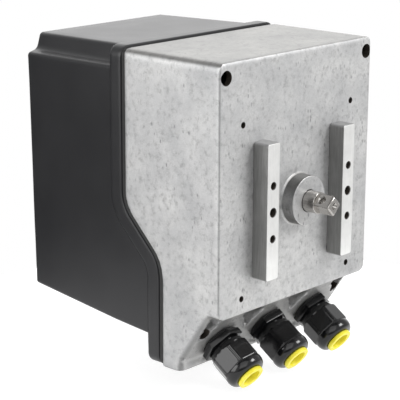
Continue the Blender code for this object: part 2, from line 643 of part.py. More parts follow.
def gear_train(mats):
    metal, brass = mats["steel"], mats["brass"]
    drive = finish("drive_gear", prism(tooth_outline(DRIVE_TEETH, MODULE, 0, 0, 0), 21, 27), metal)
    join(drive, pin(10.4, 19.6, 28.6))
    bored(drive, SHAFT_R + GAP, 10, 40, 0, 0, 28)
    for k in range(5):
        a = radians(25 + 72 * k)
        cut(drive, pin(4.6, 15, 35, 18.0 * cos(a), 18.0 * sin(a), 16))

    idler_x, idler_z, idler_at = place(0, 0, DRIVE_TEETH + IDLER_PINION_TEETH, DRIVE_AT)
    phase = mesh_phase(IDLER_PINION_TEETH, idler_at, DRIVE_TEETH, 0)
    centre = (idler_x, 0, idler_z)
    idler = finish("idler_gear", prism(tooth_outline(IDLER_PINION_TEETH, MODULE, phase, idler_x, idler_z),
                                       20, 31), brass, centre)
    join(idler, tool(prism(tooth_outline(IDLER_WHEEL_TEETH, MODULE, phase, idler_x, idler_z), 30, 35)),
         pin(6.5, 34, 37.5, idler_x, idler_z, 16))
    bored(idler, 2.3, 10, 45, idler_x, idler_z, 14)
    axle = [(0, 15.3), (2.0, 15.3), (2.0, 42.9), (3.6, 42.9), (3.6, 44.4), (0, 44.4)]
    finish("idler_axle", turned(axle, 14, along_y(idler_x, idler_z)), metal)

    motor_x, motor_z, motor_at = place(idler_x, idler_z, IDLER_WHEEL_TEETH + MOTOR_TEETH, MOTOR_AT)
    m_phase = mesh_phase(MOTOR_TEETH, motor_at, IDLER_WHEEL_TEETH, phase)
    pinion = finish("motor_pinion", prism(tooth_outline(MOTOR_TEETH, MODULE, m_phase, motor_x, motor_z),
                                          29.5, 36), brass, (motor_x, 0, motor_z))
    join(pinion, pin(2.5, 35, 42.6, motor_x, motor_z, 12))
    body = [(0, 43), (MOTOR_R - 1.5, 43), (MOTOR_R, 44.2), (MOTOR_R, 74), (20.5, 75.5), (0, 75.5)]
    finish("gear_motor", turned(body, 28, along_y(motor_x, motor_z)), mats["motor"])

    pot_x, pot_z, pot_at = place(0, 0, DRIVE_TEETH + FEEDBACK_TEETH, FEEDBACK_AT)
    p_phase = mesh_phase(FEEDBACK_TEETH, pot_at, DRIVE_TEETH, 0)
    pot = finish("feedback_gear", prism(tooth_outline(FEEDBACK_TEETH, MODULE, p_phase, pot_x, pot_z), 22, 26),
                 mats["nylon"], (pot_x, 0, pot_z))
    join(pot, pin(4.5, 25, 30, pot_x, pot_z, 14), pin(2.9, 29, 43.5, pot_x, pot_z, 14))
    can = turned([(0, 43.8), (8.2, 43.8), (8.2, 53.8), (0, 53.8)], 20, along_y(pot_x, pot_z))
    finish("feedback_potentiometer", can, mats["dark"])

    outline = rounded([(58, -57, 6), (58, 60, 6), (-58, 60, 6), (-58, -57, 6)], 3)
    plate = finish("gear_plate", prism(outline, PLATE_Y, PLATE_Y + PLATE_T), mats["zinc"])
    for x, z, r in ((0, 0, 8.3), (idler_x, idler_z, 2.3), (motor_x, motor_z, 8.0), (pot_x, pot_z, 3.4)):
        bored(plate, r, 30, 50, x, z, 18)
    for side in (-1, 1):
        for z in STUD_HOLE_HEIGHTS:
            join(plate, pin(LEG_R, 20 + GAP, PLATE_Y + 1, side * STUD_HOLE_X, z, 12),
                 pin(LEG_TOP_R, PLATE_Y + 1, PLATE_Y + PLATE_T + 1, side * STUD_HOLE_X, z, 12))
        seat = BOARD_Y - GAP
        post = turned([(0, PLATE_Y + 1), (3.5, PLATE_Y + 1), (3.5, seat), (1.4, seat), (1.4, seat + 3.7),
                       (0, seat + 3.7)], 12, along_y(side * POST_X, POST_Z))
        join(plate, tool(post))


def place(x, z, teeth, degrees_round):
    """Centre of a gear in mesh with the one at (x, z), in the given direction."""
    distance = teeth * MODULE / 2 + MESH_EXTRA
    a = radians(degrees_round)
    return x + distance * cos(a), z + distance * sin(a), a


def shaft_ring(name, profile, mat, sides=24):
    return finish(name, turned(profile, sides, along_y(), closed=True), mat)


def shaft_fittings(mats):
    shaft_ring("front_bush", [(SHAFT_R + GAP, 8), (8.7, 8), (8.7, 18.7), (SHAFT_R + GAP, 18.7)],
               mats["bronze"])
    shaft_ring("shaft_seal", [(SHAFT_R + GAP, 4.4), (8.6, 4.4), (8.6, 7.6), (SHAFT_R + GAP, 7.6)],
               mats["rubber"])
    shaft_ring("rear_bush", [(JOURNAL_R + GAP, 38.2), (7.9, 38.2), (7.9, 42.8), (10.4, 42.8),
                             (10.4, 44.4), (JOURNAL_R + GAP, 44.4)], mats["bronze"])
    ring = [(6.3, 29.2), (9.2, 29.2), (9.2, 30.0), (6.3, 30.0)]
    clip = finish("retaining_ring", turned(ring, 24, along_y(), closed=True), mats["spring"])
    cut(clip, tool(box((-1.2, 28, -12), (1.2, 31, -4))))
    for name, low, lobe in (("open_cam", 46.8, 62.0), ("closed_cam", 54.8, 208.0)):
        points = []
        for i in range(36):
            a = i * 10.0
            away = abs((a - lobe + 180) % 360 - 180)
            points.append((cam_radius(away) * cos(radians(a)), cam_radius(away) * sin(radians(a))))
        cam = finish(name, prism(points, low, low + 5.0), mats["nylon"])
        join(cam, pin(8.0, low + 4.0, low + 6.6, 0, 0, 18))
        bored(cam, JOURNAL_R + GAP, 40, 70, 0, 0, 20)
    pointer = [(0, 66.4), (JOURNAL_R + GAP, 66.4), (JOURNAL_R + GAP, 62.2), (7.6, 62.2), (7.6, 73),
               (4, 75), (4, 162.0), (16.0, 163.4), (16.0, 165.0), (0, 165.0)]
    indicator = finish("position_indicator", turned(pointer, 20, along_y()), mats["red"])
    bar = rounded([(13, -2, 1.9), (13, 2, 1.9), (-13, 2, 1.9), (-13, -2, 1.9)], 2)
    join(indicator, tool(prism(bar, 164, 167)))


def cam_radius(away):
    """Radius of a limit-switch cam at an angle away from the middle of its lobe."""
    flat, end = 20, 45
    if away <= flat:
        return CAM_LOBE_R
    if away >= end:
        return CAM_BASE_R
    share = (1 - cos(pi * (away - flat) / (end - flat))) / 2
    return CAM_LOBE_R + (CAM_BASE_R - CAM_LOBE_R) * share


def limit_switches(mats):
    bracket = rounded([(17.0, -31, 2), (34, -31, 2), (34, -5, 2), (17.0, -5, 2)], 2)
    plate = finish("switch_bracket", prism(bracket, 42.8, 45.2), mats["zinc"])
    join(plate, tool(box((31.0, 45, -30), (33.5, 61, -6))))
    for name, low in (("open", OPEN_SWITCH_Y), ("closed", CLOSED_SWITCH_Y)):
        shape = rounded([(18.6, -30, 0.8), (30.6, -30, 0.8), (30.6, -6, 0.8), (18.6, -6, 0.8)], 2)
        body = finish(name + "_switch", prism(shape, low, low + SWITCH_T), mats["dark"])
        join(body, tool(box((17.2, low + 1.4, -28.5), (18.9, low + 4.2, -26.3))))
        lever = [(15.9, -27.6), (16.9, -28.4), (16.9, -12), (16.3, -2.4), (15.2, 0.2), (14.2, -2.0),
                 (15.4, -12)]
        finish(name + "_switch_lever", prism(lever, low + 1.0, low + 4.6), mats["spring"],
               (16.4, 0, -27.4))


def on_board(name, x0, x1, low, high, mat):
    """Block standing on the circuit board, as high as the keys' row."""
    outline = rounded([(x0, KEY_Z - 5, 1), (x1, KEY_Z - 5, 1), (x1, KEY_Z + 5, 1), (x0, KEY_Z + 5, 1)], 2)
    return finish(name, prism(outline, low, high), mat)


def circuit_board(mats):
    outline = rounded([(BOARD_HALF, BOARD_LOW, 2), (BOARD_HALF, BOARD_HIGH, 2),
                       (-BOARD_HALF, BOARD_HIGH, 2), (-BOARD_HALF, BOARD_LOW, 2)], 2)
    board = finish("circuit_board", prism(outline, BOARD_Y, BOARD_Y + BOARD_T), mats["board"])
    for side in (-1, 1):
        bored(board, 1.8, 60, 80, side * POST_X, POST_Z, 12)


def terminal_block(mats):
    foot = BOARD_Y + BOARD_T + 0.8
    outline = rounded([(foot, -70, 0), (88, -70, 1), (88, -62, 1), (80, -57, 1), (foot, -57, 0)], 2)
    block = finish("terminal_block", prism(outline, -BOARD_HALF + 4, BOARD_HALF - 4, "X"), mats["green"])
    for k in range(TERMINALS):
        x = (k - (TERMINALS - 1) / 2) * TERMINAL_PITCH
        cut(block, pin(2.2, 82, 95, x, -66, 8), tool(box((x - 2.2, 77, -60.6), (x + 2.2, 82, -50))))


def mode_switch(mats):
    """Selector switch; its toggle's foot is narrow, so that it clears the body when it tilts."""
    foot, top = BOARD_Y + BOARD_T + GAP, 80.0
    on_board("mode_switch", TOGGLE_X - 7, TOGGLE_X + 7, foot, top, mats["dark"])
    pivot = top + GAP
    toggle = turned([(0, pivot), (1.0, pivot), (1.6, 81.2), (1.4, 84), (1.9, 92), (1.2, 93), (0, 93)], 12,
                    along_y(TOGGLE_X, KEY_Z))
    finish("mode_toggle", toggle, mats["zinc"], (TOGGLE_X, pivot, KEY_Z))


def push_buttons(mats):
    foot, top = BOARD_Y + BOARD_T + GAP, 77.5
    block = on_board("button_block", OPEN_KEY_X - 6, CLOSE_KEY_X + 6, foot, top, mats["dark"])
    for name, x in (("open_button", OPEN_KEY_X), ("close_button", CLOSE_KEY_X)):
        cut(block, pin(3.4, 74.0, 80, x, KEY_Z, 16))
        finish(name, turned([(0, 75.6), (3.0, 75.6), (3.0, 81.0), (2.5, 81.5), (0, 81.5)], 14,
                            along_y(x, KEY_Z)), mats["red"])


def sight_window(mat):
    profile = [(0, 171.2), (WINDOW_R, 171.2), (WINDOW_R, 173.9), (WINDOW_R + 2, 173.9),
               (WINDOW_R + 2, 174.6), (WINDOW_R + 1.4, 175.0), (0, 175.0)]
    finish("sight_window", turned(profile, 32, along_y()), mat)


def build():
    clear_scene()
    mats = {
        "cast": material("cast_aluminium", (0.60, 0.61, 0.62), 0.42, 0.85),
        "cover": material("black_plastic", (0.028, 0.028, 0.031), 0.38, 0.0),
        "rubber": material("rubber", (0.012, 0.012, 0.013), 0.6, 0.0),
        "rail": material("milled_aluminium", (0.80, 0.80, 0.79), 0.32, 0.9),
        "shaft": material("stainless_steel", (0.42, 0.39, 0.36), 0.25, 1.0),
        "steel": material("steel", (0.50, 0.50, 0.50), 0.30, 1.0),
        "zinc": material("zinc_plated_steel", (0.62, 0.62, 0.60), 0.35, 1.0),
        "spring": material("spring_steel", (0.35, 0.35, 0.36), 0.30, 1.0),
        "brass": material("brass", (0.72, 0.55, 0.24), 0.30, 1.0),
        "bronze": material("sintered_bronze", (0.50, 0.33, 0.18), 0.50, 0.9),
        "gland": material("black_polyamide", (0.016, 0.016, 0.018), 0.28, 0.0),
        "plug": material("yellow_plastic", (0.90, 0.76, 0.02), 0.40, 0.0),
        "motor": material("motor_can", (0.45, 0.46, 0.47), 0.35, 1.0),
        "nylon": material("white_nylon", (0.80, 0.79, 0.74), 0.45, 0.0),
        "dark": material("dark_plastic", (0.03, 0.03, 0.035), 0.45, 0.0),
        "board": material("circuit_board", (0.02, 0.16, 0.07), 0.40, 0.0),
        "green": material("green_plastic", (0.05, 0.32, 0.12), 0.45, 0.0),
        "red": material("red_plastic", (0.62, 0.05, 0.04), 0.40, 0.0),
        "clear": material("clear_plastic", (0.75, 0.80, 0.82), 0.10, 0.0),
    }
    gear_housing(mats["cast"])
    housing_cover(mats["cover"])
    cover_gasket(mats["rubber"])
    sight_window(mats["clear"])
    mounting_rail("mounting_rail_left", -1, mats["rail"])
    mounting_rail("mounting_rail_right", 1, mats["rail"])
    number = 0
    for side in (-1, 1):
        for z in (-RAIL_SCREW_Z, RAIL_SCREW_Z):
            number += 1
            socket_screw("rail_screw_" + str(number), side * RAIL_X, z, 15.3, 4.6, 4.25, SCREW_R,
                         mats["steel"])
        tag = "left" if side < 0 else "right"
        socket_screw("cover_screw_upper_" + tag, side * CASE_HOLE_X, CASE_HOLE_Z, 59.7, 96.4, 4.0,
                     SCREW_R, mats["steel"])
        socket_screw("cover_screw_lower_" + tag, side * LOW_HOLE_X, LOW_HOLE_Z, 44.7, 66.4, 4.0,
                     SCREW_R, mats["steel"])
    turns = (("left", -1, 43.0, 10.0), ("middle", 0, 16.5, 21.0), ("right", 1, 23.0, 45.0))
    for tag, place_number, turn_body, turn_nut in turns:
        cable_gland(tag, place_number * GLAND_PITCH, turn_body, turn_nut, mats)
    output_shaft(mats["shaft"])
    shaft_fittings(mats)
    gear_train(mats)
    limit_switches(mats)
    circuit_board(mats)
    terminal_block(mats)
    mode_switch(mats)
    push_buttons(mats)
    socket_screw("earth_screw", EARTH_X, EARTH_Z, 23.3, 16.4, 3.6, 1.8, mats["brass"], 2.6, 1.2)


build()
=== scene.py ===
"""Looks of the motorized valve actuator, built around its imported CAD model."""
import json
from math import acos, atan2, cos, degrees, hypot, pi, radians, sin, sqrt, tan

import bmesh
import bpy
from mathutils import Matrix, Vector

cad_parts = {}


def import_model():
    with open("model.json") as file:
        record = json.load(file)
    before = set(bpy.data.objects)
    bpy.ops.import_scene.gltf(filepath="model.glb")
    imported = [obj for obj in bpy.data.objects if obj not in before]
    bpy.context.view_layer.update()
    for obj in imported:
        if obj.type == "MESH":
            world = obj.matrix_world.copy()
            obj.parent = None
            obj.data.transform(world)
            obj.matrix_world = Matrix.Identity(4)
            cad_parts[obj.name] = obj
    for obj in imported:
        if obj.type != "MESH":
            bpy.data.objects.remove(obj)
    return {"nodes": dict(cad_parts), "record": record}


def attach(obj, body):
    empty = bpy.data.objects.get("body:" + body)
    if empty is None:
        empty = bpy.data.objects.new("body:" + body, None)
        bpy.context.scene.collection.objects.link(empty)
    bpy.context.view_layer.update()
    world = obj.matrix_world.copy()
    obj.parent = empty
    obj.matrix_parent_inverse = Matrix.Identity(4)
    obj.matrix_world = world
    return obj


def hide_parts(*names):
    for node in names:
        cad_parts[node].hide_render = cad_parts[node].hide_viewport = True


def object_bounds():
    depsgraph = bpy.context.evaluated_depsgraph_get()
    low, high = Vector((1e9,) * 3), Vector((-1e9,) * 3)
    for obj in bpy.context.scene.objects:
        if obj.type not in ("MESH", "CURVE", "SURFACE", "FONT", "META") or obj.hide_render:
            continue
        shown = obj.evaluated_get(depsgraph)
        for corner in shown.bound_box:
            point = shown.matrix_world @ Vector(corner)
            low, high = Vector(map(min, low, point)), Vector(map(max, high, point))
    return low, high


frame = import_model()
CAD_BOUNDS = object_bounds()
MM = 0.001

# Main sizes of the CAD model, in millimetres
FACE_Y = 11.0
HALF_WIDTH = 70.0
FACE_TOP = 90.4
FACE_BOTTOM = -61.6
HOUSING_BOTTOM = -100.8
WALL = 3.5
UPPER_JOINT_Y, LOWER_JOINT_Y = 88.0, 57.2
UPPER_BEND = (3.6, 20.0)
LOWER_BEND = (-46.2, 26.0)
HUB_R, HUB_FACE_Y = 15.3, 1.8
CASE_HOLE_X, CASE_HOLE_Z, CASE_HOLE_R = 64.7, 81.5, 4.4
LOW_HOLE_X, LOW_HOLE_Z, LOW_HOLE_R = 62.0, -75.0, 3.6
STUD_HOLE_X, STUD_HOLE_R = 50.1, 1.9
STUD_HOLE_HEIGHTS = (52.6, -51.8)
GLAND_TILT = radians(33.5)
GLAND_FOOT = (34.9, -84.9)
GLAND_PITCH = 43.1
LIP_Y = 41.0
SPOT_FACE_R = 15.3              # flat seat for a gland's flange
GLAND_WALL = 10.0               # the sloping wall's inside, below its outside
PAD_R, PAD_NECK, POCKET_DEPTH = 20.7, 11.9, 5.5
GLAND_AF = 24.0                 # hexagon across flats
GLAND_CORNER_R = GLAND_AF / 2 / cos(pi / 6)
BODY_FOOT, FLANGE_LOW, FLANGE_HIGH, NECK_TOP = -12.0, 1.4, 5.6, 20.5
BODY_BORE_R, THREAD_R, NECK_R = 6.75, 9.9, 9.3
NUT_BOTTOM, HEX_LOW, HEX_HIGH, DOME_START, NUT_TOP = 7.4, 10.9, 22.4, 24.6, 29.7
NUT_THROAT_R, NUT_LIP_R, DOME_R, NUT_CORNER_R = 7.7, 9.0, 12.7, 13.1
NUT_RIB = 0.13                  # height of the fine ribs on the nut's corners
PLUG_BORE_R, PLUG_R, PLUG_RIM_R = 5.2, 6.4, 8.6
PLUG_FOOT, PLUG_FLOOR, PLUG_TOP = 14.0, 21.0, 32.2
# name, place in the row, and turns of the body and the nut in degrees
GLANDS = (("left", -1, 43.0, 10.0), ("middle", 0, 16.5, 23.0), ("right", 1, 23.0, 52.0))
RAIL_X, RAIL_WIDTH, RAIL_HALF_LENGTH, RAIL_HOLE_PITCH = 35.4, 11.2, 41.3, 16.0
RAIL_CORNER_R, RAIL_MIDDLE_HOLE_R, RAIL_END_HOLE_R = 1.8, 2.7, 2.2
SHAFT_R, SQUARE, SQUARE_CORNER_R = 6.6, 9.0, 6.15
TIP_Y, SHOULDER_Y, SHAFT_END_Y = -17.3, -6.6, 66.0
CROSS_HOLE_Y = -10.2            # the hole drilled across the square end
BAND = 9.4                      # depth of the cover's straight rim
SEAM = 2.2                      # from the housing's edge to the cover's edge
BAND_TOP, BAND_BOTTOM, BAND_CORNER_R = 91.4, -101.0, 7.0
COVER_HALF, COVER_HALF_BACK = 69.8, 65.9
COVER_TOP_BACK = 88.7
COVER_TAPER_TOP_Y, COVER_TAPER_BOTTOM_Y = 97.0, 68.8
COVER_BACK_TOP_Y, COVER_BACK_BOTTOM_Y = 178.6, 175.2
COVER_BACK_BOTTOM, COVER_FRONT_BOTTOM = -74.5, -82.6
COVER_BACK_ROUND, COVER_LOW_ROUND = 1.7, 1.8
WINDOW_R = 18.0
FLAT_STEPS, CORNER_STEPS, COVE_STEPS = 8, 8, 40     # points on each part of the cover's outline


# ------------------------ mesh helpers

def shade(mesh, angle=38.0):
    """Smooth shading, with sharp edges where faces meet at more than the angle."""
    mesh.shade_smooth()
    mesh.set_sharp_from_angle(angle=radians(angle))


def to_object(name, bm, mats, smooth_angle=38.0):
    """Turn a bmesh in millimetres into an object in metres."""
    bmesh.ops.recalc_face_normals(bm, faces=bm.faces)
    bm.transform(Matrix.Scale(MM, 4))
    mesh = bpy.data.meshes.new(name)
    bm.to_mesh(mesh)
    bm.free()
    for mat in mats:
        mesh.materials.append(mat)
    shade(mesh, smooth_angle)
    obj = bpy.data.objects.new(name, mesh)
    bpy.context.collection.objects.link(obj)
    return obj


def bake_modifiers(obj):
    """Replace the object's mesh with what its modifiers make of it."""
    graph = bpy.context.evaluated_depsgraph_get()
    mesh = bpy.data.meshes.new_from_object(obj.evaluated_get(graph))
    obj.modifiers.clear()
    old = obj.data
    obj.data = mesh
    mesh.name = obj.name
    bpy.data.meshes.remove(old)


def combine(obj, operation, *tools):
    """Exact Booleans with each tool, which is then removed."""
    for tool in tools:
        mod = obj.modifiers.new(operation, "BOOLEAN")
        mod.operation = operation
        mod.solver = "EXACT"
        mod.object = tool
    bake_modifiers(obj)
    for tool in tools:
        bpy.data.objects.remove(tool, do_unlink=True)
    return obj


def cut(obj, *tools):
    return combine(obj, "DIFFERENCE", *tools)


def join(obj, *tools):
    return combine(obj, "UNION", *tools)


def arc(centre, radius, start, end, steps):
    """Points of an arc between two angles in degrees."""
    for i in range(steps + 1):
        a = radians(start + (end - start) * i / steps)
        yield (centre[0] + radius * cos(a), centre[1] + radius * sin(a))


def rounded(corners, steps=8):
    """Outline through (x, y, radius) corners, each replaced by a tangent arc."""
    points = []
    count = len(corners)
    for i, (x, y, r) in enumerate(corners):
        here = Vector((x, y))
        if r <= 0:
            points.append(tuple(here))
            continue
        back = (Vector(corners[i - 1][:2]) - here).normalized()
        ahead = (Vector(corners[(i + 1) % count][:2]) - here).normalized()
        half = back.angle(ahead) / 2
        centre = here + (back + ahead).normalized() * (r / sin(half))
        first = here + back * (r / tan(half)) - centre
        last = here + ahead * (r / tan(half)) - centre
        a0 = atan2(first.y, first.x)
        turn = (atan2(last.y, last.x) - a0 + pi) % (2 * pi) - pi
        for k in range(steps + 1):
            a = a0 + turn * k / steps
            points.append((centre.x + r * cos(a), centre.y + r * sin(a)))
    return points


def loft(loops, caps=True, closed=False):
    """Skin through loops; a closed loft joins the last loop to the first."""
    bm = bmesh.new()
    rings = [[bm.verts.new(p) for p in loop] for loop in loops]
    count = len(rings[0])
    pairs = list(zip(rings, rings[1:]))
    if closed:
        pairs.append((rings[-1], rings[0]))
    for lower, upper in pairs:
        for i in range(count):
            j = (i + 1) % count
            bm.faces.new((lower[i], lower[j], upper[j], upper[i]))
    if caps and not closed:
        bm.faces.new(reversed(rings[0]))
        bm.faces.new(rings[-1])
    return bm


def prism(outline, low, high, axis="Y", place=None):
    """Solid between two heights along an axis, with an outline in the other two."""
    order = {"Y": lambda a, b, h: (a, h, b),
             "X": lambda a, b, h: (h, a, b),
             "Z": lambda a, b, h: (a, b, h)}[axis]
    bm = loft([[order(a, b, h) for a, b in outline] for h in (low, high)])
    if place:
        bm.transform(place)
    return bm


def turned(profile, sides=64, place=None, closed=False):
    """Revolve (radius, height) points about local Z; a closed profile makes a ring."""
    bm = bmesh.new()
    rings = []
    for r, h in profile:
        if r < 1e-6:
            rings.append([bm.verts.new((0, 0, h))])
        else:
            rings.append([bm.verts.new((r * cos(2 * pi * i / sides), r * sin(2 * pi * i / sides), h))
                          for i in range(sides)])
    pairs = list(zip(rings, rings[1:]))
    if closed:
        pairs.append((rings[-1], rings[0]))
    for lower, upper in pairs:
        for i in range(sides):
            j = (i + 1) % sides
            if len(lower) == 1:
                bm.faces.new((lower[0], upper[j], upper[i]))
            elif len(upper) == 1:
                bm.faces.new((lower[i], lower[j], upper[0]))
            else:
                bm.faces.new((lower[i], lower[j], upper[j], upper[i]))
    if place:
        bm.transform(place)
    return bm


def eased(corners, radius, steps=3):
    """Profile with each inner corner rounded; the end points stay."""
    middle = [(r, h, radius) for r, h in corners[1:-1]]
    return rounded([(*corners[0], 0)] + middle + [(*corners[-1], 0)], steps)


def along_y(x=0.0, z=0.0):
    """Frame whose local Z runs along Y through (x, z)."""
    return Matrix.Translation((x, 0, z)) @ Matrix.Rotation(radians(-90), 4, "X")


def gland_frame(x):
    """Frame of a gland: local Y up the sloping face and local Z out of it."""
    c, s = cos(GLAND_TILT), sin(GLAND_TILT)
    y, z = GLAND_FOOT
    return Matrix(((1, 0, 0, x), (0, -s, -c, y), (0, c, -s, z), (0, 0, 0, 1)))


def slope_point(up, out):
    """Side view (y, z) of a point on the sloping face."""
    point = gland_frame(0) @ Vector((0, up, out))
    return point.y, point.z


def tool(bm):
    return to_object("tool", bm, [])


def disc(radius, low, high, sides, place):
    return tool(turned([(0, low), (radius, low), (radius, high), (0, high)], sides, place))


def pin(radius, low, high, x=0.0, z=0.0, sides=48):
    return disc(radius, low, high, sides, along_y(x, z))


def rides(obj, body, slot, *nodes):
    """Tie an object to its body and hide the CAD nodes it replaces; the slot is not used."""
    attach(obj, body)
    if nodes:
        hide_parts(*nodes)
    return obj


# ------------------------ materials

class Nodes:
    """Short-hand for building one material's node tree."""

    def __init__(self, name, colour, roughness, metallic):
        self.mat = bpy.data.materials.new(name)
        self.mat.use_nodes = True
        self.tree = self.mat.node_tree
        self.shader = self.tree.nodes["Principled BSDF"]
        self.shader.inputs["Base Color"].default_value = (*colour, 1.0)
        self.shader.inputs["Roughness"].default_value = roughness
        self.shader.inputs["Metallic"].default_value = metallic
        self.mat.diffuse_color = (*colour, 1.0)
        self.coords = self.tree.nodes.new("ShaderNodeTexCoord").outputs["Object"]

    def node(self, kind, inputs=None, **settings):
        made = self.tree.nodes.new(kind)
        for key, value in settings.items():
            setattr(made, key, value)
        for key, value in (inputs or {}).items():
            self.feed(made.inputs[key], value)
        return made

    def feed(self, socket, value):
        if isinstance(value, bpy.types.NodeSocket):
            self.tree.links.new(value, socket)
        else:
            socket.default_value = value

    def scaled(self, scale):
        """Object coordinates times a per-axis scale."""
        return self.node("ShaderNodeMapping", {"Vector": self.coords, "Scale": scale}).outputs["Vector"]

    def noise(self, scale, detail=3.0, roughness=0.55, stretch=(1, 1, 1), distortion=0.0):
        inputs = {"Vector": self.scaled(stretch), "Scale": scale, "Detail": detail,
                  "Roughness": roughness, "Distortion": distortion}
        return self.node("ShaderNodeTexNoise", inputs).outputs["Fac"]

    def ramp(self, value, *stops):
        """Colour ramp through (position, grey or colour) stops."""
        node = self.node("ShaderNodeValToRGB", {"Fac": value})
        band = node.color_ramp
        while len(band.elements) < len(stops):
            band.elements.new(0.5)
        for element, (place, colour) in zip(band.elements, stops):
            element.position = place
            if not isinstance(colour, tuple):
                colour = (colour, colour, colour)
            element.color = (*colour, 1.0)
        return node.outputs["Color"]

    def mix(self, factor, a, b, mode="MIX"):
        node = self.node("ShaderNodeMix", data_type="RGBA", blend_type=mode)
        self.feed(node.inputs[0], factor)
        for index, value in ((6, a), (7, b)):
            if isinstance(value, tuple):
                value = (*value, 1.0)
            self.feed(node.inputs[index], value)
        return node.outputs[2]

    def math(self, operation, a, b=0.0, clamp=False):
        node = self.node("ShaderNodeMath", operation=operation, use_clamp=clamp)
        self.feed(node.inputs[0], a)
        self.feed(node.inputs[1], b)
        return node.outputs[0]

    def spread(self, value, low, high, start=0.0, end=1.0):
        """Map start..end onto low..high."""
        inputs = {"Value": value, "From Min": start, "From Max": end, "To Min": low, "To Max": high}
        return self.node("ShaderNodeMapRange", inputs).outputs[0]

    def times(self, tone, other, strength=1.0):
        return self.mix(strength, tone, other, "MULTIPLY")

    def split(self, vector):
        return self.node("ShaderNodeSeparateXYZ", {"Vector": vector}).outputs

    def bump(self, height, distance, strength=1.0, after=None):
        node = self.node("ShaderNodeBump", {"Height": height, "Distance": distance,
                                            "Strength": strength})
        if after:
            self.feed(node.inputs["Normal"], after)
        return node.outputs["Normal"]

    def normal(self):
        """The surface's direction in the object's own axes."""
        return self.tree.nodes.new("ShaderNodeTexCoord").outputs["Normal"]

    def facing(self, axis):
        """1 where the surface faces along an axis (0 to 2), either way, and 0 elsewhere."""
        along = self.split(self.normal())[axis]
        return self.ramp(self.math("ABSOLUTE", along), (0.35, 0.0), (0.65, 1.0))

    def done(self, colour=None, roughness=None, normal=None):
        """Feed the shader and return the material."""
        for socket, value in (("Base Color", colour), ("Roughness", roughness), ("Normal", normal)):
            if value is not None:
                self.feed(self.shader.inputs[socket], value)
        return self.mat


def cast_aluminium():
    """Raw die casting: cloudy grey with faint flow marks, dark pores and a fine sandy skin, with painted
    shade and a painted highlight.
    """
    n = Nodes("cast_aluminium", (0.56, 0.57, 0.585), 0.50, 0.68)
    clouds = n.noise(34, 5, 0.66)
    mottle = n.noise(260, 6, 0.72)
    streaks = n.noise(260, 4, 0.6, (1, 1, 0.8), 0.6)
    grain = n.noise(1500, 3, 0.6)
    tone = n.ramp(clouds, (0.30, (0.45, 0.453, 0.458)), (0.70, (0.63, 0.628, 0.622)))
    tone = n.times(tone, n.ramp(mottle, (0.32, 0.68), (0.47, 1.0), (0.70, 1.10)), 0.85)
    flow = n.ramp(streaks, (0.33, 0.70), (0.45, 1.0))
    where = n.ramp(n.noise(34, 3, 0.5), (0.46, 0.0), (0.62, 1.0))
    tone = n.mix(where, tone, n.times(tone, flow, 0.6))

    # pores: some of the cells, gathered in clusters
    cells = n.node("ShaderNodeTexVoronoi", {"Vector": n.scaled((1, 1, 0.5)), "Scale": 430.0,
                                            "Randomness": 1.0})
    near = n.ramp(cells.outputs["Distance"], (0.16, 1.0), (0.34, 0.0))
    chosen = n.ramp(cells.outputs["Color"], (0.52, 0.0), (0.70, 1.0))
    cluster = n.ramp(n.noise(70, 4, 0.65), (0.48, 0.0), (0.60, 1.0))
    specks = n.math("MULTIPLY", n.math("MULTIPLY", near, chosen), cluster, True)
    tone = n.mix(n.math("MULTIPLY", specks, 0.60), tone, (0.17, 0.17, 0.18))
    tone = n.times(tone, n.ramp(grain, (0.30, 0.90), (0.70, 1.08)), 0.8)

    # painted shade: faces that look up or down, upright and sloping edges, and the foot are darker
    faces = n.split(n.normal())
    tone = n.mix(n.facing(2), tone, n.times(tone, (0.58, 0.574, 0.56)))
    for other, grey in ((1, 0.50), (2, 0.75)):
        edge = n.math("ABSOLUTE", n.math("MULTIPLY", faces[0], faces[other]))
        tone = n.mix(n.ramp(edge, (0.25, 0.0), (0.46, 1.0)), tone, n.times(tone, (grey, grey, grey)))
    place = n.split(n.coords)
    tone = n.times(tone, n.spread(place[2], 0.80, 1.03, HOUSING_BOTTOM * MM, 0.0))

    # painted shade on the turned hub's face and side, and a painted highlight on its chamfer
    radius = n.math("SQRT", n.math("ADD", n.math("MULTIPLY", place[0], place[0]),
                                   n.math("MULTIPLY", place[2], place[2])))
    on_hub = n.math("MULTIPLY", n.math("LESS_THAN", radius, (HUB_R + 1.2) * MM),
                    n.math("LESS_THAN", place[1], (FACE_Y - 0.05) * MM))
    hub = n.ramp(n.math("ABSOLUTE", faces[1]), (0.30, 0.60), (0.50, 1.45), (0.80, 1.45), (0.95, 0.84))
    tone = n.mix(on_hub, tone, n.times(tone, hub))

    skin = n.bump(grain, 0.00006, 0.5)
    skin = n.bump(mottle, 0.00018, 0.30, skin)
    skin = n.bump(n.math("SUBTRACT", 1.0, specks), 0.00012, 0.6, skin)
    return n.done(tone, n.spread(mottle, 0.42, 0.58), skin)


def milled_bar():
    """Bar with bright milled faces front and back, and scratched sides and ends darkened as painted shade.
    """
    n = Nodes("milled_aluminium", (0.80, 0.80, 0.785), 0.36, 0.55)
    marks = n.noise(2400, 3, 0.6, (1.0, 1.0, 0.03))
    scratches = n.noise(900, 3, 0.7, (1.0, 1.0, 0.08))
    haze = n.noise(90, 4, 0.6)
    bright = n.ramp(marks, (0.25, (0.70, 0.70, 0.685)), (0.75, (0.82, 0.82, 0.81)))
    shaded_sides = n.ramp(scratches, (0.30, (0.18, 0.18, 0.175)), (0.65, (0.24, 0.24, 0.235)))
    # painted shade: the sides and the ends are darker than the milled faces
    tone = n.mix(n.facing(0), bright, shaded_sides)
    tone = n.mix(n.facing(2), tone, (0.29, 0.29, 0.29))
    tone = n.times(tone, n.ramp(haze, (0.3, 0.86), (0.7, 1.06)), 0.6)
    return n.done(tone, n.spread(haze, 0.30, 0.45), n.bump(marks, 0.00003, 0.5))


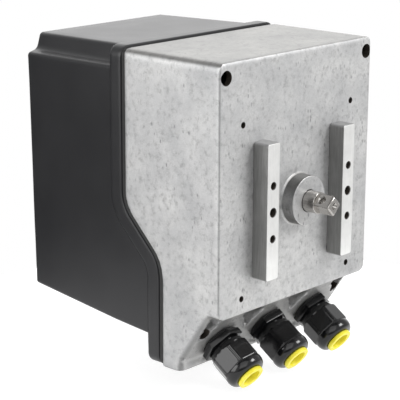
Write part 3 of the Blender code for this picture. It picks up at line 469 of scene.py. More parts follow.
def bore_shadow():
    """Painted shadow for the wall of a drilled hole: nearly black, faintly brown."""
    n = Nodes("bore_painted_shadow", (0.03, 0.025, 0.02), 0.5, 0.0)
    tone = n.ramp(n.noise(500, 3), (0.3, (0.018, 0.015, 0.013)), (0.7, (0.045, 0.036, 0.028)))
    return n.done(tone, None, n.bump(n.noise(1800, 2), 0.00003, 0.4))


def satin_black():
    """Moulded cover: charcoal plastic with a fine spark-eroded grain."""
    n = Nodes("black_plastic", (0.011, 0.011, 0.0125), 0.38, 0.0)
    grain = n.noise(2600, 2, 0.5)
    haze = n.noise(35, 3, 0.5)
    tone = n.ramp(haze, (0.3, (0.0095, 0.0095, 0.011)), (0.7, (0.0125, 0.0125, 0.014)))
    return n.done(tone, n.spread(haze, 0.36, 0.44), n.bump(grain, 0.00004, 0.45))


def glossy_polyamide():
    """The glands: black nylon with a gloss."""
    n = Nodes("black_polyamide", (0.005, 0.005, 0.0055), 0.16, 0.0)
    n.shader.inputs["IOR"].default_value = 1.46
    flow = n.noise(120, 3, 0.5)
    tone = n.ramp(flow, (0.3, (0.004, 0.004, 0.0045)), (0.7, (0.006, 0.006, 0.0065)))
    return n.done(tone, n.spread(flow, 0.12, 0.20), n.bump(n.noise(700, 2, 0.5), 0.00003, 0.4))


def yellow_plastic():
    """The plugs: soft yellow polythene that lets a little light through."""
    n = Nodes("yellow_plastic", (0.79, 0.70, 0.04), 0.38, 0.0)
    soft = n.noise(160, 3, 0.5)
    tone = n.ramp(soft, (0.3, (0.75, 0.66, 0.032)), (0.7, (0.81, 0.73, 0.048)))
    n.shader.inputs["Subsurface Weight"].default_value = 0.12
    n.shader.inputs["Subsurface Radius"].default_value = (0.002, 0.0015, 0.0004)
    return n.done(tone, n.spread(soft, 0.32, 0.44), n.bump(n.noise(900, 2, 0.5), 0.00003, 0.4))


def rubber():
    n = Nodes("rubber", (0.010, 0.010, 0.010), 0.65, 0.0)
    return n.done(n.ramp(n.noise(300, 3), (0.3, 0.007), (0.7, 0.014)), None,
                  n.bump(n.noise(1400, 2), 0.00004, 0.5))


# name, colour, roughness, direction of the tool marks and their strength
METALS = (("stainless_steel", (0.43, 0.415, 0.395), 0.22, "Y", 0.22),
          ("steel", (0.50, 0.50, 0.50), 0.32, "Y", 0.18),
          ("zinc_plated_steel", (0.62, 0.62, 0.60), 0.36, "X", 0.18),
          ("spring_steel", (0.36, 0.36, 0.37), 0.30, "Z", 0.18),
          ("brass", (0.72, 0.55, 0.24), 0.30, "Y", 0.18),
          ("sintered_bronze", (0.50, 0.33, 0.18), 0.50, "Y", 0.18),
          ("motor_can", (0.46, 0.47, 0.48), 0.36, "Y", 0.18))
PLASTICS = (("white_nylon", (0.78, 0.77, 0.72), 0.45), ("dark_plastic", (0.03, 0.03, 0.034), 0.45),
            ("circuit_board", (0.02, 0.16, 0.07), 0.35), ("green_plastic", (0.05, 0.32, 0.12), 0.42),
            ("red_plastic", (0.62, 0.05, 0.04), 0.35))


def machined(name, colour, roughness, direction, strength):
    """Metal with fine tool marks stretched along one direction."""
    n = Nodes(name, colour, roughness, 1.0)
    stretch = tuple(0.03 if axis == direction else 1.0 for axis in "XYZ")
    marks = n.noise(2400, 3, 0.6, stretch)
    haze = n.noise(90, 4, 0.6)
    low = tuple(c * (1 - strength) for c in colour)
    high = tuple(min(1.0, c * (1 + strength * 0.6)) for c in colour)
    tone = n.ramp(marks, (0.25, low), (0.75, high))
    tone = n.times(tone, n.ramp(haze, (0.3, 0.86), (0.7, 1.06)), 0.6)
    rough = n.spread(haze, roughness * 0.8, roughness * 1.25)
    return n.done(tone, rough, n.bump(marks, 0.00003, 0.5))


def plain_plastic(name, colour, roughness):
    n = Nodes(name, colour, roughness, 0.0)
    haze = n.noise(140, 3, 0.5)
    low = tuple(c * 0.88 for c in colour)
    high = tuple(min(1.0, c * 1.08) for c in colour)
    rough = n.spread(haze, roughness * 0.85, roughness * 1.15)
    return n.done(n.ramp(haze, (0.3, low), (0.7, high)), rough, n.bump(n.noise(1800, 2), 0.00003, 0.35))


def clear_plastic():
    n = Nodes("clear_plastic", (0.86, 0.90, 0.91), 0.06, 0.0)
    n.shader.inputs["Transmission Weight"].default_value = 0.9
    n.shader.inputs["IOR"].default_value = 1.49
    haze = n.noise(90, 3)
    return n.done(n.ramp(haze, (0.3, (0.84, 0.88, 0.89)), (0.7, (0.90, 0.93, 0.94))),
                  n.spread(haze, 0.04, 0.10))


# ------------------------ gear housing

def joint_curve(spacing=2.0):
    """The joint between housing and cover, side view, top to bottom: (y, z, ny, nz)."""
    upper_z, upper_r = UPPER_BEND
    lower_z, lower_r = LOWER_BEND
    points = []
    turn = 45.0

    def straight(y, z0, z1):
        count = max(2, round(abs(z1 - z0) / spacing))
        for i in range(count):
            points.append((y, z0 + (z1 - z0) * i / count, 1.0, 0.0))

    straight(UPPER_JOINT_Y, FACE_TOP, upper_z)
    for i in range(11):
        a = radians(-turn * i / 10)
        points.append((UPPER_JOINT_Y - upper_r + upper_r * cos(a), upper_z + upper_r * sin(a),
                       cos(a), sin(a)))
    y0, z0 = points[-1][:2]
    end_y = LOWER_JOINT_Y + lower_r + lower_r * cos(radians(180 - turn))
    end_z = lower_z + lower_r * sin(radians(180 - turn))
    for i in range(1, 8):
        points.append((y0 + (end_y - y0) * i / 8, z0 + (end_z - z0) * i / 8,
                       cos(radians(turn)), -sin(radians(turn))))
    for i in range(11):
        a = radians(180 - turn + turn * i / 10)
        points.append((LOWER_JOINT_Y + lower_r + lower_r * cos(a), lower_z + lower_r * sin(a),
                       -cos(a), -sin(a)))
    straight(LOWER_JOINT_Y, lower_z - 0.01, HOUSING_BOTTOM)
    points.append((LOWER_JOINT_Y, HOUSING_BOTTOM, 1.0, 0.0))
    return points


def housing_blank():
    """The outside of the casting as one solid, before its edges are softened."""
    ledge_y = slope_point((FACE_BOTTOM - GLAND_FOOT[1]) / cos(GLAND_TILT), 0)[0]
    lip_top = GLAND_FOOT[1] - (LIP_Y - GLAND_FOOT[0]) / tan(GLAND_TILT)
    lip_up = (lip_top - GLAND_FOOT[1]) / cos(GLAND_TILT)
    front = rounded([(FACE_Y, FACE_TOP, 0), (FACE_Y, FACE_BOTTOM, 0.6), (ledge_y, FACE_BOTTOM, 1.5),
                     (LIP_Y, lip_top, 4.0), (LIP_Y, HOUSING_BOTTOM, 2.0),
                     (LOWER_JOINT_Y, HOUSING_BOTTOM, 0)])
    line = [(y, z) for y, z, _, _ in joint_curve()]
    side_view = line[::-1][1:] + front
    body = to_object("blank", prism(side_view, -HALF_WIDTH, HALF_WIDTH, "X"), [])
    w, r, soft = HALF_WIDTH, 4.5, 5.5
    block = rounded([(w, HOUSING_BOTTOM - 1, 0), (w, FACE_TOP, r), (-w, FACE_TOP, r),
                     (-w, HOUSING_BOTTOM - 1, 0)])
    combine(body, "INTERSECT", tool(prism(block, 0, 120)))
    for side in (-1, 1):
        x0, z0 = side * w, FACE_BOTTOM
        start = 180 if side < 0 else 0
        corner = list(arc((x0 - side * r, z0 + r), r, start, start - side * 90, 8))
        corner += [(x0 - side * r, z0 - 2), (x0 + side * 2, z0 - 2), (x0 + side * 2, z0 + r)]
        cut(body, tool(prism(corner, 0, ledge_y + 2)))
        edge = list(arc((x0 - side * soft, -soft), soft, start, 90, 8))
        edge += [(x0 - side * soft, 3), (x0 + side * 3, 3), (x0 + side * 3, -soft)]
        bm = prism(edge, lip_up, 27.5, "Z")
        swap = Matrix(((1, 0, 0, 0), (0, 0, 1, 0), (0, 1, 0, 0), (0, 0, 0, 1)))
        bm.transform(gland_frame(0) @ swap)
        cut(body, tool(bm))
        lip_edge = [(x, LIP_Y - y) for x, y in edge]
        cut(body, tool(prism(lip_edge, HOUSING_BOTTOM - 2, lip_top, "Z")))
    face_up = (FACE_BOTTOM - GLAND_FOOT[1]) / cos(GLAND_TILT) - 0.8
    neck_up = sqrt(PAD_R ** 2 - PAD_NECK ** 2)
    low_angle, high_angle = 14.0, degrees(atan2(neck_up, PAD_NECK))

    def pad_side(x, side):
        line = list(arc((0, 0), PAD_R, low_angle, high_angle, 10)) + [(PAD_NECK, face_up)]
        return [(x + side * a, b) for a, b in line]

    pockets = [pad_side(left, 1) + pad_side(left + GLAND_PITCH, -1)[::-1] for left in (-GLAND_PITCH, 0)]
    for side in (-1, 1):
        rim = side * (HALF_WIDTH - 5.0)
        pockets.append(pad_side(side * GLAND_PITCH, side) + [(rim, face_up), (rim, 9.0)])
    for outline in pockets:
        cut(body, tool(prism(outline, -POCKET_DEPTH - 1.0, 3, "Z", gland_frame(0))))
    for k in (-1, 0, 1):
        cut(body, disc(SPOT_FACE_R, 0, 9, 64, gland_frame(k * GLAND_PITCH)))
    return body


def darken_bores(body, bores, dark):
    """Painted shadow as a second material on the walls of the drilled holes: (x, z, radius) each, along Y.
    """
    body.data.materials.append(dark)
    for face in body.data.polygons:
        if abs(face.normal.y) > 0.6:
            continue
        for x, z, r in bores:
            if abs(hypot(face.center.x / MM - x, face.center.z / MM - z) - r) < 0.12:
                face.material_index = len(body.data.materials) - 1


def gear_housing(cast, dark):
    """The softened casting, hollowed, trimmed at the joint, drilled and given its hub."""
    body = housing_blank()
    body.name = "cast_housing"
    body.data.materials.append(cast)
    mod = body.modifiers.new("skin", "REMESH")
    mod.mode = "VOXEL"
    mod.voxel_size = 0.0013
    mod = body.modifiers.new("soften", "SMOOTH")
    mod.factor = 0.5
    mod.iterations = 3
    bake_modifiers(body)
    # the open back follows the joint exactly, so the softened blank is trimmed to it
    line = [(y - 0.6, z) for y, z, _, _ in joint_curve()]
    line[0] = (line[0][0], FACE_TOP + 5)
    line[-1] = (line[-1][0], HOUSING_BOTTOM - 5)
    behind = line + [(140, HOUSING_BOTTOM - 5), (140, FACE_TOP + 5)]
    inner_y = FACE_Y + 4
    floor = HOUSING_BOTTOM + WALL
    back_z = -GLAND_FOOT[1] - GLAND_WALL * sin(GLAND_TILT)
    shelf = FACE_BOTTOM + 4.5
    shelf_up = (shelf + back_z) / cos(GLAND_TILT)
    floor_up = (floor + back_z) / cos(GLAND_TILT)
    hollow = [(inner_y, FACE_TOP - WALL), (inner_y, shelf), slope_point(shelf_up, -GLAND_WALL),
              slope_point(floor_up, -GLAND_WALL), (110, floor), (110, FACE_TOP - WALL)]
    tools = [tool(prism(hollow, -HALF_WIDTH + WALL, HALF_WIDTH - WALL, "X")),
             tool(prism(behind, -90, 90, "X"))]
    bores = []
    for side in (-1, 1):
        for x, z, r, low, high in ((CASE_HOLE_X, CASE_HOLE_Z, CASE_HOLE_R, 5, 95),
                                   (LOW_HOLE_X, LOW_HOLE_Z, LOW_HOLE_R, 20, 60)):
            tools.append(pin(r, low, high, side * x, z))
            bores.append((side * x, z, r))
        for z in STUD_HOLE_HEIGHTS:
            tools.append(pin(STUD_HOLE_R, 5, 20, side * STUD_HOLE_X, z, 32))
            bores.append((side * STUD_HOLE_X, z, STUD_HOLE_R))
    for k in (-1, 0, 1):
        tools.append(disc(THREAD_R + 0.4, -16, 3, 48, gland_frame(k * GLAND_PITCH)))
    hub = eased([(SHAFT_R - 1, FACE_Y + 3), (SHAFT_R - 1, HUB_FACE_Y), (HUB_R, HUB_FACE_Y),
                 (HUB_R, FACE_Y - 0.9), (HUB_R + 0.9, FACE_Y), (HUB_R + 2.2, FACE_Y + 0.2),
                 (HUB_R + 2.2, FACE_Y + 3)], 0.6, 4)
    join(body, tool(turned(hub, 96, along_y(), closed=True)))
    tools.append(pin(SHAFT_R + 0.4, -5, 30, 0, 0, 64))
    cut(body, *tools)
    # painted shadow inside the drilled holes
    darken_bores(body, bores, dark)
    shade(body.data)
    return rides(body, "housing", "cast_aluminium", "gear_housing")


# ------------------------ cover and seam

def band_half(inset):
    """Right half of the band's outline: bottom flat, corner, side wall, top corner, top flat."""
    w, top, bottom = HALF_WIDTH - inset, BAND_TOP - inset, BAND_BOTTOM + inset
    r = BAND_CORNER_R - inset
    outline = [((w - r) * i / FLAT_STEPS, bottom) for i in range(FLAT_STEPS)]
    outline += list(arc((w - r, bottom + r), r, -90, 0, CORNER_STEPS))
    outline += [(w, z) for _, z, _, _ in side_points()]
    outline += list(arc((w - r, top - r), r, 0, 90, COVE_STEPS))
    outline += [((w - r) * (1 - i / FLAT_STEPS), top) for i in range(1, FLAT_STEPS + 1)]
    return outline


def side_points():
    """The joint curve's own points between the band's corners, from the bottom up."""
    low, high = BAND_BOTTOM + BAND_CORNER_R + 0.5, BAND_TOP - BAND_CORNER_R - 0.5
    return [point for point in reversed(joint_curve()) if low < point[1] < high]


def cove_shape(half, top, inset):
    """The stepped shoulder of the cover, from the side wall up to the top face."""
    ledge_in, wall_in = 7.6, 10.7
    corners = [(half, top - 30, 0), (half, top - 11.8, max(0.5, 2.6 - inset)),
               (half - ledge_in, top - 10.0, 5.0 + inset * 0.5),
               (half - wall_in, top, max(0.6, 3.2 - inset)), (0, top, 0)]
    points = rounded(corners, 8)[1:-1]
    dense = []
    for (x0, z0), (x1, z1) in zip(points, points[1:]):
        dense.append((x0, z0))
        if hypot(x1 - x0, z1 - z0) > 2.5:
            for k in range(1, 4):
                dense.append((x0 + (x1 - x0) * k / 4, z0 + (z1 - z0) * k / 4))
    dense.append(points[-1])
    return resample(dense, COVE_STEPS)


def resample(points, steps):
    """Same path with a fixed number of points, spread by how much the path turns and its length."""
    weights = [0.0]
    for i in range(1, len(points)):
        (x0, z0), (x1, z1) = points[i - 1], points[i]
        length = hypot(x1 - x0, z1 - z0)
        turn = 0.0
        if i + 1 < len(points):
            x2, z2 = points[i + 1]
            turn = abs((atan2(z2 - z1, x2 - x1) - atan2(z1 - z0, x1 - x0) + pi) % (2 * pi) - pi)
        weights.append(weights[-1] + length * 0.35 + turn * 6)
    out = []
    j = 0
    for k in range(steps + 1):
        goal = weights[-1] * k / steps
        while j < len(weights) - 2 and weights[j + 1] < goal:
            j += 1
        span = weights[j + 1] - weights[j]
        f = (goal - weights[j]) / span if span else 0.0
        (x0, z0), (x1, z1) = points[j], points[j + 1]
        out.append((x0 + (x1 - x0) * f, z0 + (z1 - z0) * f))
    return out


def body_sizes(y, inset):
    """Half width, top and bottom of the cover's body at a depth; it tapers to the back."""
    share = max(0.0, (y - COVER_TAPER_TOP_Y) / (COVER_BACK_TOP_Y - COVER_TAPER_TOP_Y))
    half = COVER_HALF + (COVER_HALF_BACK - COVER_HALF) * share - inset
    top = FACE_TOP + (COVER_TOP_BACK - FACE_TOP) * share - inset
    run = (y - COVER_TAPER_BOTTOM_Y) / (COVER_BACK_BOTTOM_Y - COVER_TAPER_BOTTOM_Y)
    bottom = COVER_FRONT_BOTTOM + (COVER_BACK_BOTTOM - COVER_FRONT_BOTTOM) * run + inset
    return half, top, bottom


def squeeze(z, bottom, top):
    """Side-wall height on the body for a height on the band; only the two ends move."""
    low, high = -62.0, 60.0
    low_from, low_to = BAND_BOTTOM + BAND_CORNER_R, bottom + COVER_LOW_ROUND + 1.0
    if z < low:
        return low_to + (z - low_from) * (low - low_to) / (low - low_from)
    high_from, high_to = BAND_TOP - BAND_CORNER_R, top - 14.5
    if z > high:
        return high + (z - high) * (high_to - high) / (high_from - high)
    return z


def body_half(y_of, inset):
    """Right half of the body's outline; y_of gives the depth at each of the outline's points."""
    points = []
    half, top, bottom = body_sizes(y_of(0), inset)
    r = max(0.6, COVER_LOW_ROUND - inset)
    for i in range(FLAT_STEPS):
        points.append(((half - r) * i / FLAT_STEPS, y_of(len(points)), bottom))
    for x, z in arc((half - r, bottom + r), r, -90, 0, CORNER_STEPS):
        points.append((x, y_of(len(points)), z))
    for _, z, _, nz in side_points():
        y = y_of(len(points))
        half, top, bottom = body_sizes(y, inset)
        points.append((half, y, squeeze(z + nz * (SEAM + BAND), bottom, top)))
    y = y_of(len(points))
    half, top, _ = body_sizes(y, inset)
    for x, z in cove_shape(half, top, inset):
        points.append((x, y_of(len(points)), z))
    x_end = points[-1][0]
    for i in range(1, FLAT_STEPS + 1):
        points.append((x_end * (1 - i / FLAT_STEPS), y_of(len(points)), top))
    return points


def whole(half_points):
    """Mirror a right half (bottom middle to top middle) into a closed loop."""
    left = [(-x, y, z) for x, y, z in reversed(half_points[1:-1])]
    return half_points + left


def housing_cover(mat):
    """Moulded shell: loops along the rim and the body, an inside wall, and the window's hole."""
    side = side_points()
    before = FLAT_STEPS + CORNER_STEPS + 1
    lean = (COVER_BACK_TOP_Y - COVER_BACK_BOTTOM_Y) / (COVER_TOP_BACK - COVER_BACK_BOTTOM)

    def joint_at(index):
        """Joint point and normal for an outline point's index."""
        if index < before:
            return LOWER_JOINT_Y, None, 1.0, 0.0
        if index < before + len(side):
            return side[index - before]
        return UPPER_JOINT_Y, None, 1.0, 0.0

    def band_loop(depth, inset):
        points = []
        reach = SEAM + depth
        for index, (x, z) in enumerate(band_half(inset)):
            y, z_line, ny, nz = joint_at(index)
            points.append((x, y + ny * reach, (z if z_line is None else z_line) + nz * reach))
        return whole(points)

    def body_loop(fraction, inset, behind):
        def y_of(index):
            y, z, ny, _ = joint_at(index)
            start = y + ny * (SEAM + BAND)
            if z is None:
                z = COVER_BACK_BOTTOM if index < before else COVER_TOP_BACK
            end = COVER_BACK_BOTTOM_Y + lean * (max(z, COVER_BACK_BOTTOM) - COVER_BACK_BOTTOM)
            return start + (end - 8.0 - start) * fraction if fraction < 1 else end - behind
        return whole(body_half(y_of, inset))

    loops = [band_loop(2.4, 3.0), band_loop(0, 3.0), band_loop(0, 0.9), band_loop(0.12, 0.42),
             band_loop(0.42, 0.12), band_loop(0.9, 0)]
    loops += [band_loop(d, 0) for d in (2.5, 4.5, 6.5, 8.3)]
    loops += [band_loop(8.8, 0.06), band_loop(9.1, 0.2), band_loop(BAND - 0.08, 0.45)]
    loops += [body_loop(f / 14, 0, 0) for f in range(14)]
    for step in range(7):
        a = radians(15 * step)
        loops.append(body_loop(1, COVER_BACK_ROUND * (1 - cos(a)), COVER_BACK_ROUND * (1 - sin(a))))
    loops.append(body_loop(1, COVER_BACK_ROUND + 0.8, 0))
    outside = len(loops)
    loops += [body_loop(1, 7.0, 3.5), body_loop(0.55, 3.4, 0), body_loop(0.02, 3.4, 0)]
    bm = loft(loops, caps=False)
    bm.verts.ensure_lookup_table()
    count = len(loops[0])
    rings = [bm.verts[k * count:(k + 1) * count] for k in range(len(loops))]
    # close the back with an outer and an inner face, and join the inside to the front rim
    back, inner, last, first = rings[outside - 1], rings[outside], rings[-1], rings[0]
    for i in range(count):
        j = (i + 1) % count
        bm.faces.remove(bm.faces.get((back[i], back[j], inner[j], inner[i])))
    bm.faces.new(back)
    bm.faces.new(inner)
    for i in range(count):
        j = (i + 1) % count
        bm.faces.new((last[i], last[j], first[j], first[i]))
    cover = to_object("moulded_cover", bm, [mat], 30)
    cut(cover, pin(WINDOW_R + 0.3, 150, 195, 0, 0, 72), pin(WINDOW_R + 2.5, 173.4, 195, 0, 0, 72))
    shade(cover.data, 30)
    return rides(cover, "housing", "black_plastic", "housing_cover")


def seam(mat):
    """Sealing cord along the joint, just inside the casting's edge."""
    edge, corner_r = 0.6, 4.0
    low, high = HOUSING_BOTTOM + edge + corner_r + 0.3, FACE_TOP - edge - corner_r - 0.3
    side = [point for point in reversed(joint_curve()) if low < point[1] < high]

    def ring(inset, depth):
        w, r = HALF_WIDTH - edge - inset, max(0.5, corner_r - inset)
        top, bottom = FACE_TOP - edge - inset, HOUSING_BOTTOM + edge + inset
        flats = [w * 0.9 * i / FLAT_STEPS for i in range(FLAT_STEPS)]
        lower = [(x, bottom) for x in flats] + list(arc((w - r, bottom + r), r, -90, 0, 6))
        upper = list(arc((w - r, top - r), r, 0, 90, 6)) + [(x, top) for x in reversed(flats)]
        points = [(x, LOWER_JOINT_Y + depth, z) for x, z in lower]
        points += [(w, y + ny * depth, z + nz * depth) for y, z, ny, nz in side]
        points += [(x, UPPER_JOINT_Y + depth, z) for x, z in upper]
        return whole(points)

    loops = [ring(3.2, -0.3), ring(0.3, -0.3), ring(0.0, 0.1), ring(0.0, SEAM - 0.4),
             ring(0.3, SEAM - 0.1), ring(3.2, SEAM - 0.1)]
    obj = to_object("seam_seal", loft(loops, closed=True), [mat])
    return rides(obj, "housing", "rubber", "cover_gasket")


def sight_window(clear):
    """Round window with a flange that sits in the cover's counterbore."""
    foot, flange, top = 171.2, 173.9, 175.0
    profile = eased([(0, foot), (WINDOW_R, foot), (WINDOW_R, flange), (WINDOW_R + 2, flange),
                     (WINDOW_R + 2, top), (0, top)], 0.4, 3)
    obj = to_object("clear_window", turned(profile, 72, along_y()), [clear])
    return rides(obj, "housing", "clear_plastic", "sight_window")


# ------------------------ rails and shaft

def mounting_rail(name, side, mat, dark):
    """Drilled bar with eased front edges and three countersunk holes."""
    w, high = RAIL_WIDTH / 2, RAIL_HALF_LENGTH
    x0 = side * RAIL_X

    def ring(ease, y):
        r = RAIL_CORNER_R - ease
        pts = rounded([(w - ease, -high + ease, r), (w - ease, high - ease, r),
                       (-w + ease, high - ease, r), (-w + ease, -high + ease, r)], 4)
        return [(x0 + x, y, z) for x, z in pts]

    bar = [ring(0.55, 0), ring(0.25, 0.1), ring(0.08, 0.3), ring(0, 0.6), ring(0, FACE_Y - 0.3)]
    rail = to_object(name + "_bar", loft(bar), [mat])
    holes = [(x0, -RAIL_HOLE_PITCH, RAIL_END_HOLE_R), (x0, 0.0, RAIL_MIDDLE_HOLE_R),
             (x0, RAIL_HOLE_PITCH, RAIL_END_HOLE_R)]
    tools = []
    for x, z, r in holes:
        profile = [(0, -1), (r + 1.05, -1), (r + 0.05, 0.35), (r, 0.5), (r, FACE_Y + 2), (0, FACE_Y + 2)]
        tools.append(tool(turned(profile, 48, along_y(x, z))))
    cut(rail, *tools)
    # painted shadow inside the drilled holes
    darken_bores(rail, holes, dark)
    shade(rail.data)
    return rides(rail, "housing", "milled_aluminium", name)


def output_shaft(mat):
    """Round shaft with a ring groove, a thinner inner end and a drilled square in front."""
    groove, ring_end, step = 29.0, 30.2, 37.0
    shoulder = [(SHAFT_R - 1.5, SHOULDER_Y), (SHAFT_R, SHOULDER_Y), (SHAFT_R, groove)]
    profile = [(0, SHOULDER_Y)] + eased(shoulder, 0.45, 4)
    profile += [(6.0, groove), (6.0, ring_end), (SHAFT_R, ring_end), (SHAFT_R, step), (5.0, step),
                (5.0, SHAFT_END_Y), (0, SHAFT_END_Y)]
    shaft = to_object("drive_shaft", turned(profile, 72, along_y()), [mat])
    edge = 45 - degrees(acos(SQUARE / 2 / SQUARE_CORNER_R))

    def square(scale, y):
        """Four corners, each turned to the corner radius."""
        angles = [radians(90 * k + a) for k in range(4) for a in (-edge, 0, edge)]
        r = SQUARE_CORNER_R * scale
        return [(r * cos(a), y, r * sin(a)) for a in angles]

    end = loft([square(0.80, TIP_Y), square(0.86, TIP_Y + 0.12), square(0.97, TIP_Y + 0.75),
                square(1.0, TIP_Y + 1.1), square(1.0, SHOULDER_Y + 1.5)])
    join(shaft, tool(end))
    across = Matrix.Translation((0, CROSS_HOLE_Y, 0)) @ Matrix.Rotation(radians(-45), 4, "Y")
    bore = [(0, -9), (2.9, -9), (2.75, -4.6), (1.9, -3.7), (1.9, 3.7), (2.75, 4.6), (2.9, 9), (0, 9)]
    centre = [(0, TIP_Y - 1), (2.3, TIP_Y - 1), (2.1, TIP_Y), (0.6, TIP_Y + 2.0), (0.6, TIP_Y + 3.0),
              (0, TIP_Y + 3.0)]
    cut(shaft, tool(turned(bore, 40, across)), tool(turned(centre, 32, along_y())))
    shade(shaft.data, 30)
    return rides(shaft, "shaft", "stainless_steel", "output_shaft")


# ------------------------ cable glands

def hex_reach(angle, flats):
    """Distance from the centre to a hexagon's side at an angle from one of its corners."""
    return flats / 2 / cos(angle % (pi / 3) - pi / 6)


def shaped(rings, sides, turn, place):
    """Closed ring-shaped solid; each ring is (radius, height, hexagon across flats or None, rib)."""
    loops = []
    for r, h, flats, rib in rings:
        loop = []
        for i in range(sides):
            a = 2 * pi * i / sides
            reach = r
            if flats:
                reach = min(r, hex_reach(a, flats))
            if rib:
                away = degrees(abs((a + pi / 6) % (pi / 3) - pi / 6))
                if away < 1 or 3 < away < 5:
                    reach += rib
                elif away < 3:
                    reach -= rib
            loop.append((reach * cos(a + turn), reach * sin(a + turn), h))
        loops.append(loop)
    bm = loft(loops, closed=True)
    bm.transform(place)
    return bm


def gland_body(tag, place, turn, mat):
    """Thread, hexagon flange and neck, with the bore right through."""
    corner = GLAND_CORNER_R
    rings = [(BODY_BORE_R, BODY_FOOT, None, 0), (THREAD_R, BODY_FOOT, None, 0),
             (THREAD_R, FLANGE_LOW, None, 0), (12.2, FLANGE_LOW, GLAND_AF, 0),
             (corner, FLANGE_LOW + 0.2, GLAND_AF, 0), (corner, FLANGE_LOW + 0.4, GLAND_AF, 0),
             (corner, FLANGE_HIGH, GLAND_AF, 0), (corner - 0.12, FLANGE_HIGH + 0.2, GLAND_AF - 0.2, 0),
             (corner - 0.3, FLANGE_HIGH + 0.25, GLAND_AF - 0.5, 0), (11.2, FLANGE_HIGH + 0.4, None, 0),
             (NECK_R + 0.2, FLANGE_HIGH + 0.5, None, 0), (NECK_R, FLANGE_HIGH + 0.7, None, 0),
             (NECK_R, NECK_TOP, None, 0), (BODY_BORE_R, NECK_TOP, None, 0)]
    body = to_object("gland_" + tag + "_body", shaped(rings, 96, radians(turn), place), [mat], 32)
    rides(body, "housing", "black_polyamide", "gland_body_" + tag)


def gland_nut(tag, place, turn, mat):
    """Dome nut: round collar, ribbed hexagon and dome, with a stepped bore."""
    corner = NUT_CORNER_R
    rings = [(NUT_THROAT_R, 28.2, None, 0), (THREAD_R, 24.2, None, 0), (THREAD_R, NUT_BOTTOM, None, 0)]
    rings += [(r, NUT_BOTTOM + h, None, 0) for r, h in ((11.0, 0), (11.4, 0.3), (11.6, 1.4),
                                                        (11.9, 2.2), (12.2, 2.8))]
    rings += [(corner - 0.2, HEX_LOW, GLAND_AF, 0), (corner, HEX_LOW + 0.5, GLAND_AF, NUT_RIB)]
    rings += [(corner, h, GLAND_AF, NUT_RIB) for h in (13, 15, 17, 19, 21, HEX_HIGH)]
    rings += [(corner, HEX_HIGH + 0.2, GLAND_AF, 0), (corner - 0.05, HEX_HIGH + 0.5, GLAND_AF, 0),
              (corner - 0.35, HEX_HIGH + 0.85, GLAND_AF - 0.3, 0), (DOME_R - 0.15, 23.5, None, 0),
              (DOME_R - 0.05, 24.0, None, 0), (DOME_R, DOME_START, None, 0)]
    for a in range(8, 91, 8):
        s = radians(a)
        rings.append((NUT_LIP_R + (DOME_R - NUT_LIP_R) * cos(s) ** 0.8,
                      DOME_START + (NUT_TOP - DOME_START) * sin(s), None, 0))
    rings += [(NUT_LIP_R, NUT_TOP, None, 0), (NUT_LIP_R - 0.5, NUT_TOP, None, 0),
              (NUT_THROAT_R, NUT_TOP - 0.3, None, 0)]
    nut = to_object("gland_" + tag + "_nut", shaped(rings, 180, radians(turn), place), [mat], 24)
    rides(nut, "nut_" + tag, "black_polyamide", "gland_nut_" + tag)


def gland_plug(tag, place, mat):
    """Hollow plug with a rim that sits on the nut."""
    rim = NUT_TOP + 0.12
    corners = [(4, PLUG_FOOT), (PLUG_R, PLUG_FOOT), (PLUG_R, rim), (PLUG_RIM_R, rim), (PLUG_RIM_R, PLUG_TOP),
               (PLUG_BORE_R + 0.6, PLUG_TOP), (PLUG_BORE_R, PLUG_FLOOR), (0.5, PLUG_FLOOR)]
    profile = [(0, PLUG_FOOT)] + eased(corners, 0.45, 4) + [(0, PLUG_FLOOR)]
    plug = to_object("gland_" + tag + "_plug", turned(profile, 72, place), [mat])
    rides(plug, "plug_" + tag, "yellow_plastic", "gland_plug_" + tag)


# ------------------------ stage

WORLD_BASE = 0.70
# direction, cosines of the lobe's outer and inner edge, and brightness
WORLD_LOBES = (((-0.71, 0.65, -0.26), 0.55, 0.92, 0.06),
               ((0.71, 0.65, 0.30), 0.68, 0.96, 2.0),
               ((-0.35, -0.10, 0.93), 0.72, 0.87, 0.12),
               ((-0.66, -0.70, -0.15), 0.80, 0.95, 0.20))
FLOOR_RADIUS = 270.0
FLOOR_GLOW = 0.75
FLOOR_GAP = 0.016                 # room for the plugs when they are pulled out


def stage(floor_z):
    """Round, faintly glowing floor under the part, at a height in metres."""
    bm = bmesh.new()
    for x, y in arc((0, 60), FLOOR_RADIUS, 0, 357, 119):
        bm.verts.new((x, y, floor_z / MM))
    bm.faces.new(bm.verts)
    n = Nodes("studio_floor", (0.45, 0.45, 0.45), 0.9, 0.0)
    n.done(n.ramp(n.noise(0.8, 2), (0.3, 0.44), (0.7, 0.46)))
    n.shader.inputs["Emission Color"].default_value = (1, 1, 1, 1)
    n.shader.inputs["Emission Strength"].default_value = FLOOR_GLOW
    floor = to_object("floor", bm, [n.mat])


def area_light(name, place, size, power):
    """Square lamp aimed at the middle of the part."""
    data = bpy.data.lights.new(name, "AREA")
    data.shape = "SQUARE"
    data.size = size
    data.energy = power
    obj = bpy.data.objects.new(name, data)
    obj.location = place
    aim = Vector((0, 0.05, 0)) - Vector(place)
    obj.rotation_euler = aim.to_track_quat("-Z", "Y").to_euler()
    bpy.context.collection.objects.link(obj)


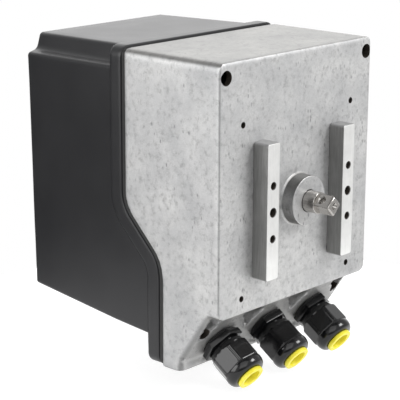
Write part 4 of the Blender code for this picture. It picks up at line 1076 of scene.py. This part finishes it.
def world():
    """White to the camera; a studio with bright and dark sides to everything else."""
    sky = bpy.data.worlds.new("studio")
    sky.use_nodes = True
    tree = sky.node_tree
    back = tree.nodes["Background"]
    direction = tree.nodes.new("ShaderNodeTexCoord").outputs["Generated"]

    def lobe(aim, start, end):
        """1 inside the lobe around a direction and 0 outside it; the cosines say how wide."""
        dot = tree.nodes.new("ShaderNodeVectorMath")
        dot.operation = "DOT_PRODUCT"
        tree.links.new(direction, dot.inputs[0])
        dot.inputs[1].default_value = Vector(aim).normalized()
        ramp = tree.nodes.new("ShaderNodeMapRange")
        ramp.interpolation_type = "SMOOTHSTEP"
        ramp.inputs["From Min"].default_value = start
        ramp.inputs["From Max"].default_value = end
        tree.links.new(dot.outputs["Value"], ramp.inputs["Value"])
        return ramp.outputs[0]

    def blend(factor, low, high):
        node = tree.nodes.new("ShaderNodeMix")
        node.data_type = "FLOAT"
        tree.links.new(factor, node.inputs[0])
        for socket, value in ((node.inputs[2], low), (node.inputs[3], high)):
            if isinstance(value, bpy.types.NodeSocket):
                tree.links.new(value, socket)
            else:
                socket.default_value = value
        return node.outputs[0]

    level = WORLD_BASE
    for aim, start, end, value in WORLD_LOBES:
        level = blend(lobe(aim, start, end), level, value)
    seen = tree.nodes.new("ShaderNodeLightPath").outputs["Is Camera Ray"]
    level = blend(seen, level, 1.0)
    back.inputs["Color"].default_value = (1, 1, 1, 1)
    tree.links.new(level, back.inputs["Strength"])
    bpy.context.scene.world = sky


CAMERA_AZIMUTH, CAMERA_ELEVATION, CAMERA_ROLL = -47.314, 15.077, 0.204     # degrees
CAMERA_BACK, CAMERA_RIGHT, CAMERA_UP = 0.9340506, -0.05825624, 0.05827108  # metres
CAMERA_LENS = 137.3202          # millimetres


def camera():
    """Camera placed from the front face's lower edge, along its own axes."""
    azimuth, elevation, roll = [radians(a) for a in (CAMERA_AZIMUTH, CAMERA_ELEVATION, CAMERA_ROLL)]
    back = Vector((sin(azimuth) * cos(elevation), -cos(azimuth) * cos(elevation), sin(elevation)))
    right = Vector((cos(azimuth), sin(azimuth), 0))
    up = back.cross(right)
    r = cos(roll) * right + sin(roll) * up
    u = -sin(roll) * right + cos(roll) * up
    place = back * CAMERA_BACK + r * CAMERA_RIGHT + u * CAMERA_UP
    place += Vector((0, FACE_Y, FACE_BOTTOM)) * MM
    data = bpy.data.cameras.new("camera")
    data.sensor_width = 36
    data.lens = CAMERA_LENS
    data.clip_start, data.clip_end = 0.01, 50
    obj = bpy.data.objects.new("camera", data)
    obj.matrix_world = Matrix((
        (r.x, u.x, back.x, place.x), (r.y, u.y, back.y, place.y),
        (r.z, u.z, back.z, place.z), (0, 0, 0, 1)))
    bpy.context.collection.objects.link(obj)
    bpy.context.scene.camera = obj


def paint_nodes(looks):
    """Give each shown CAD node the material of its slot."""
    slots = {part["node"]: part["material_slot"] for part in frame["record"]["subparts"]}
    for name, obj in frame["nodes"].items():
        obj.data.materials.clear()
        obj.data.materials.append(looks[slots[name]])


def build():
    camera()
    world()
    looks = {"cast_aluminium": cast_aluminium(), "black_plastic": satin_black(), "rubber": rubber(),
             "milled_aluminium": milled_bar(), "black_polyamide": glossy_polyamide(),
             "yellow_plastic": yellow_plastic(), "clear_plastic": clear_plastic()}
    looks.update((row[0], machined(*row)) for row in METALS)
    looks.update((row[0], plain_plastic(*row)) for row in PLASTICS)
    paint_nodes(looks)
    dark = bore_shadow()
    gear_housing(looks["cast_aluminium"], dark)
    housing_cover(looks["black_plastic"])
    seam(looks["rubber"])
    sight_window(looks["clear_plastic"])
    mounting_rail("mounting_rail_left", -1, looks["milled_aluminium"], dark)
    mounting_rail("mounting_rail_right", 1, looks["milled_aluminium"], dark)
    output_shaft(looks["stainless_steel"])
    for tag, number, turn_body, turn_nut in GLANDS:
        place = gland_frame(number * GLAND_PITCH)
        gland_body(tag, place, turn_body, looks["black_polyamide"])
        gland_nut(tag, place, turn_nut, looks["black_polyamide"])
        gland_plug(tag, place, looks["yellow_plastic"])
    stage(CAD_BOUNDS[0][2] - FLOOR_GAP)
    area_light("left", (-1.2, 0.48, 0.30), 0.92, 11)
    area_light("key", (-0.9, -0.9, 0.9), 1.4, 9)
    area_light("front", (0.52, -0.89, 0.73), 0.46, 10)
    area_light("top", (0.1, 0.3, 1.2), 1.0, 1.5)


bpy.context.scene.view_settings.view_transform = "Standard"
build()
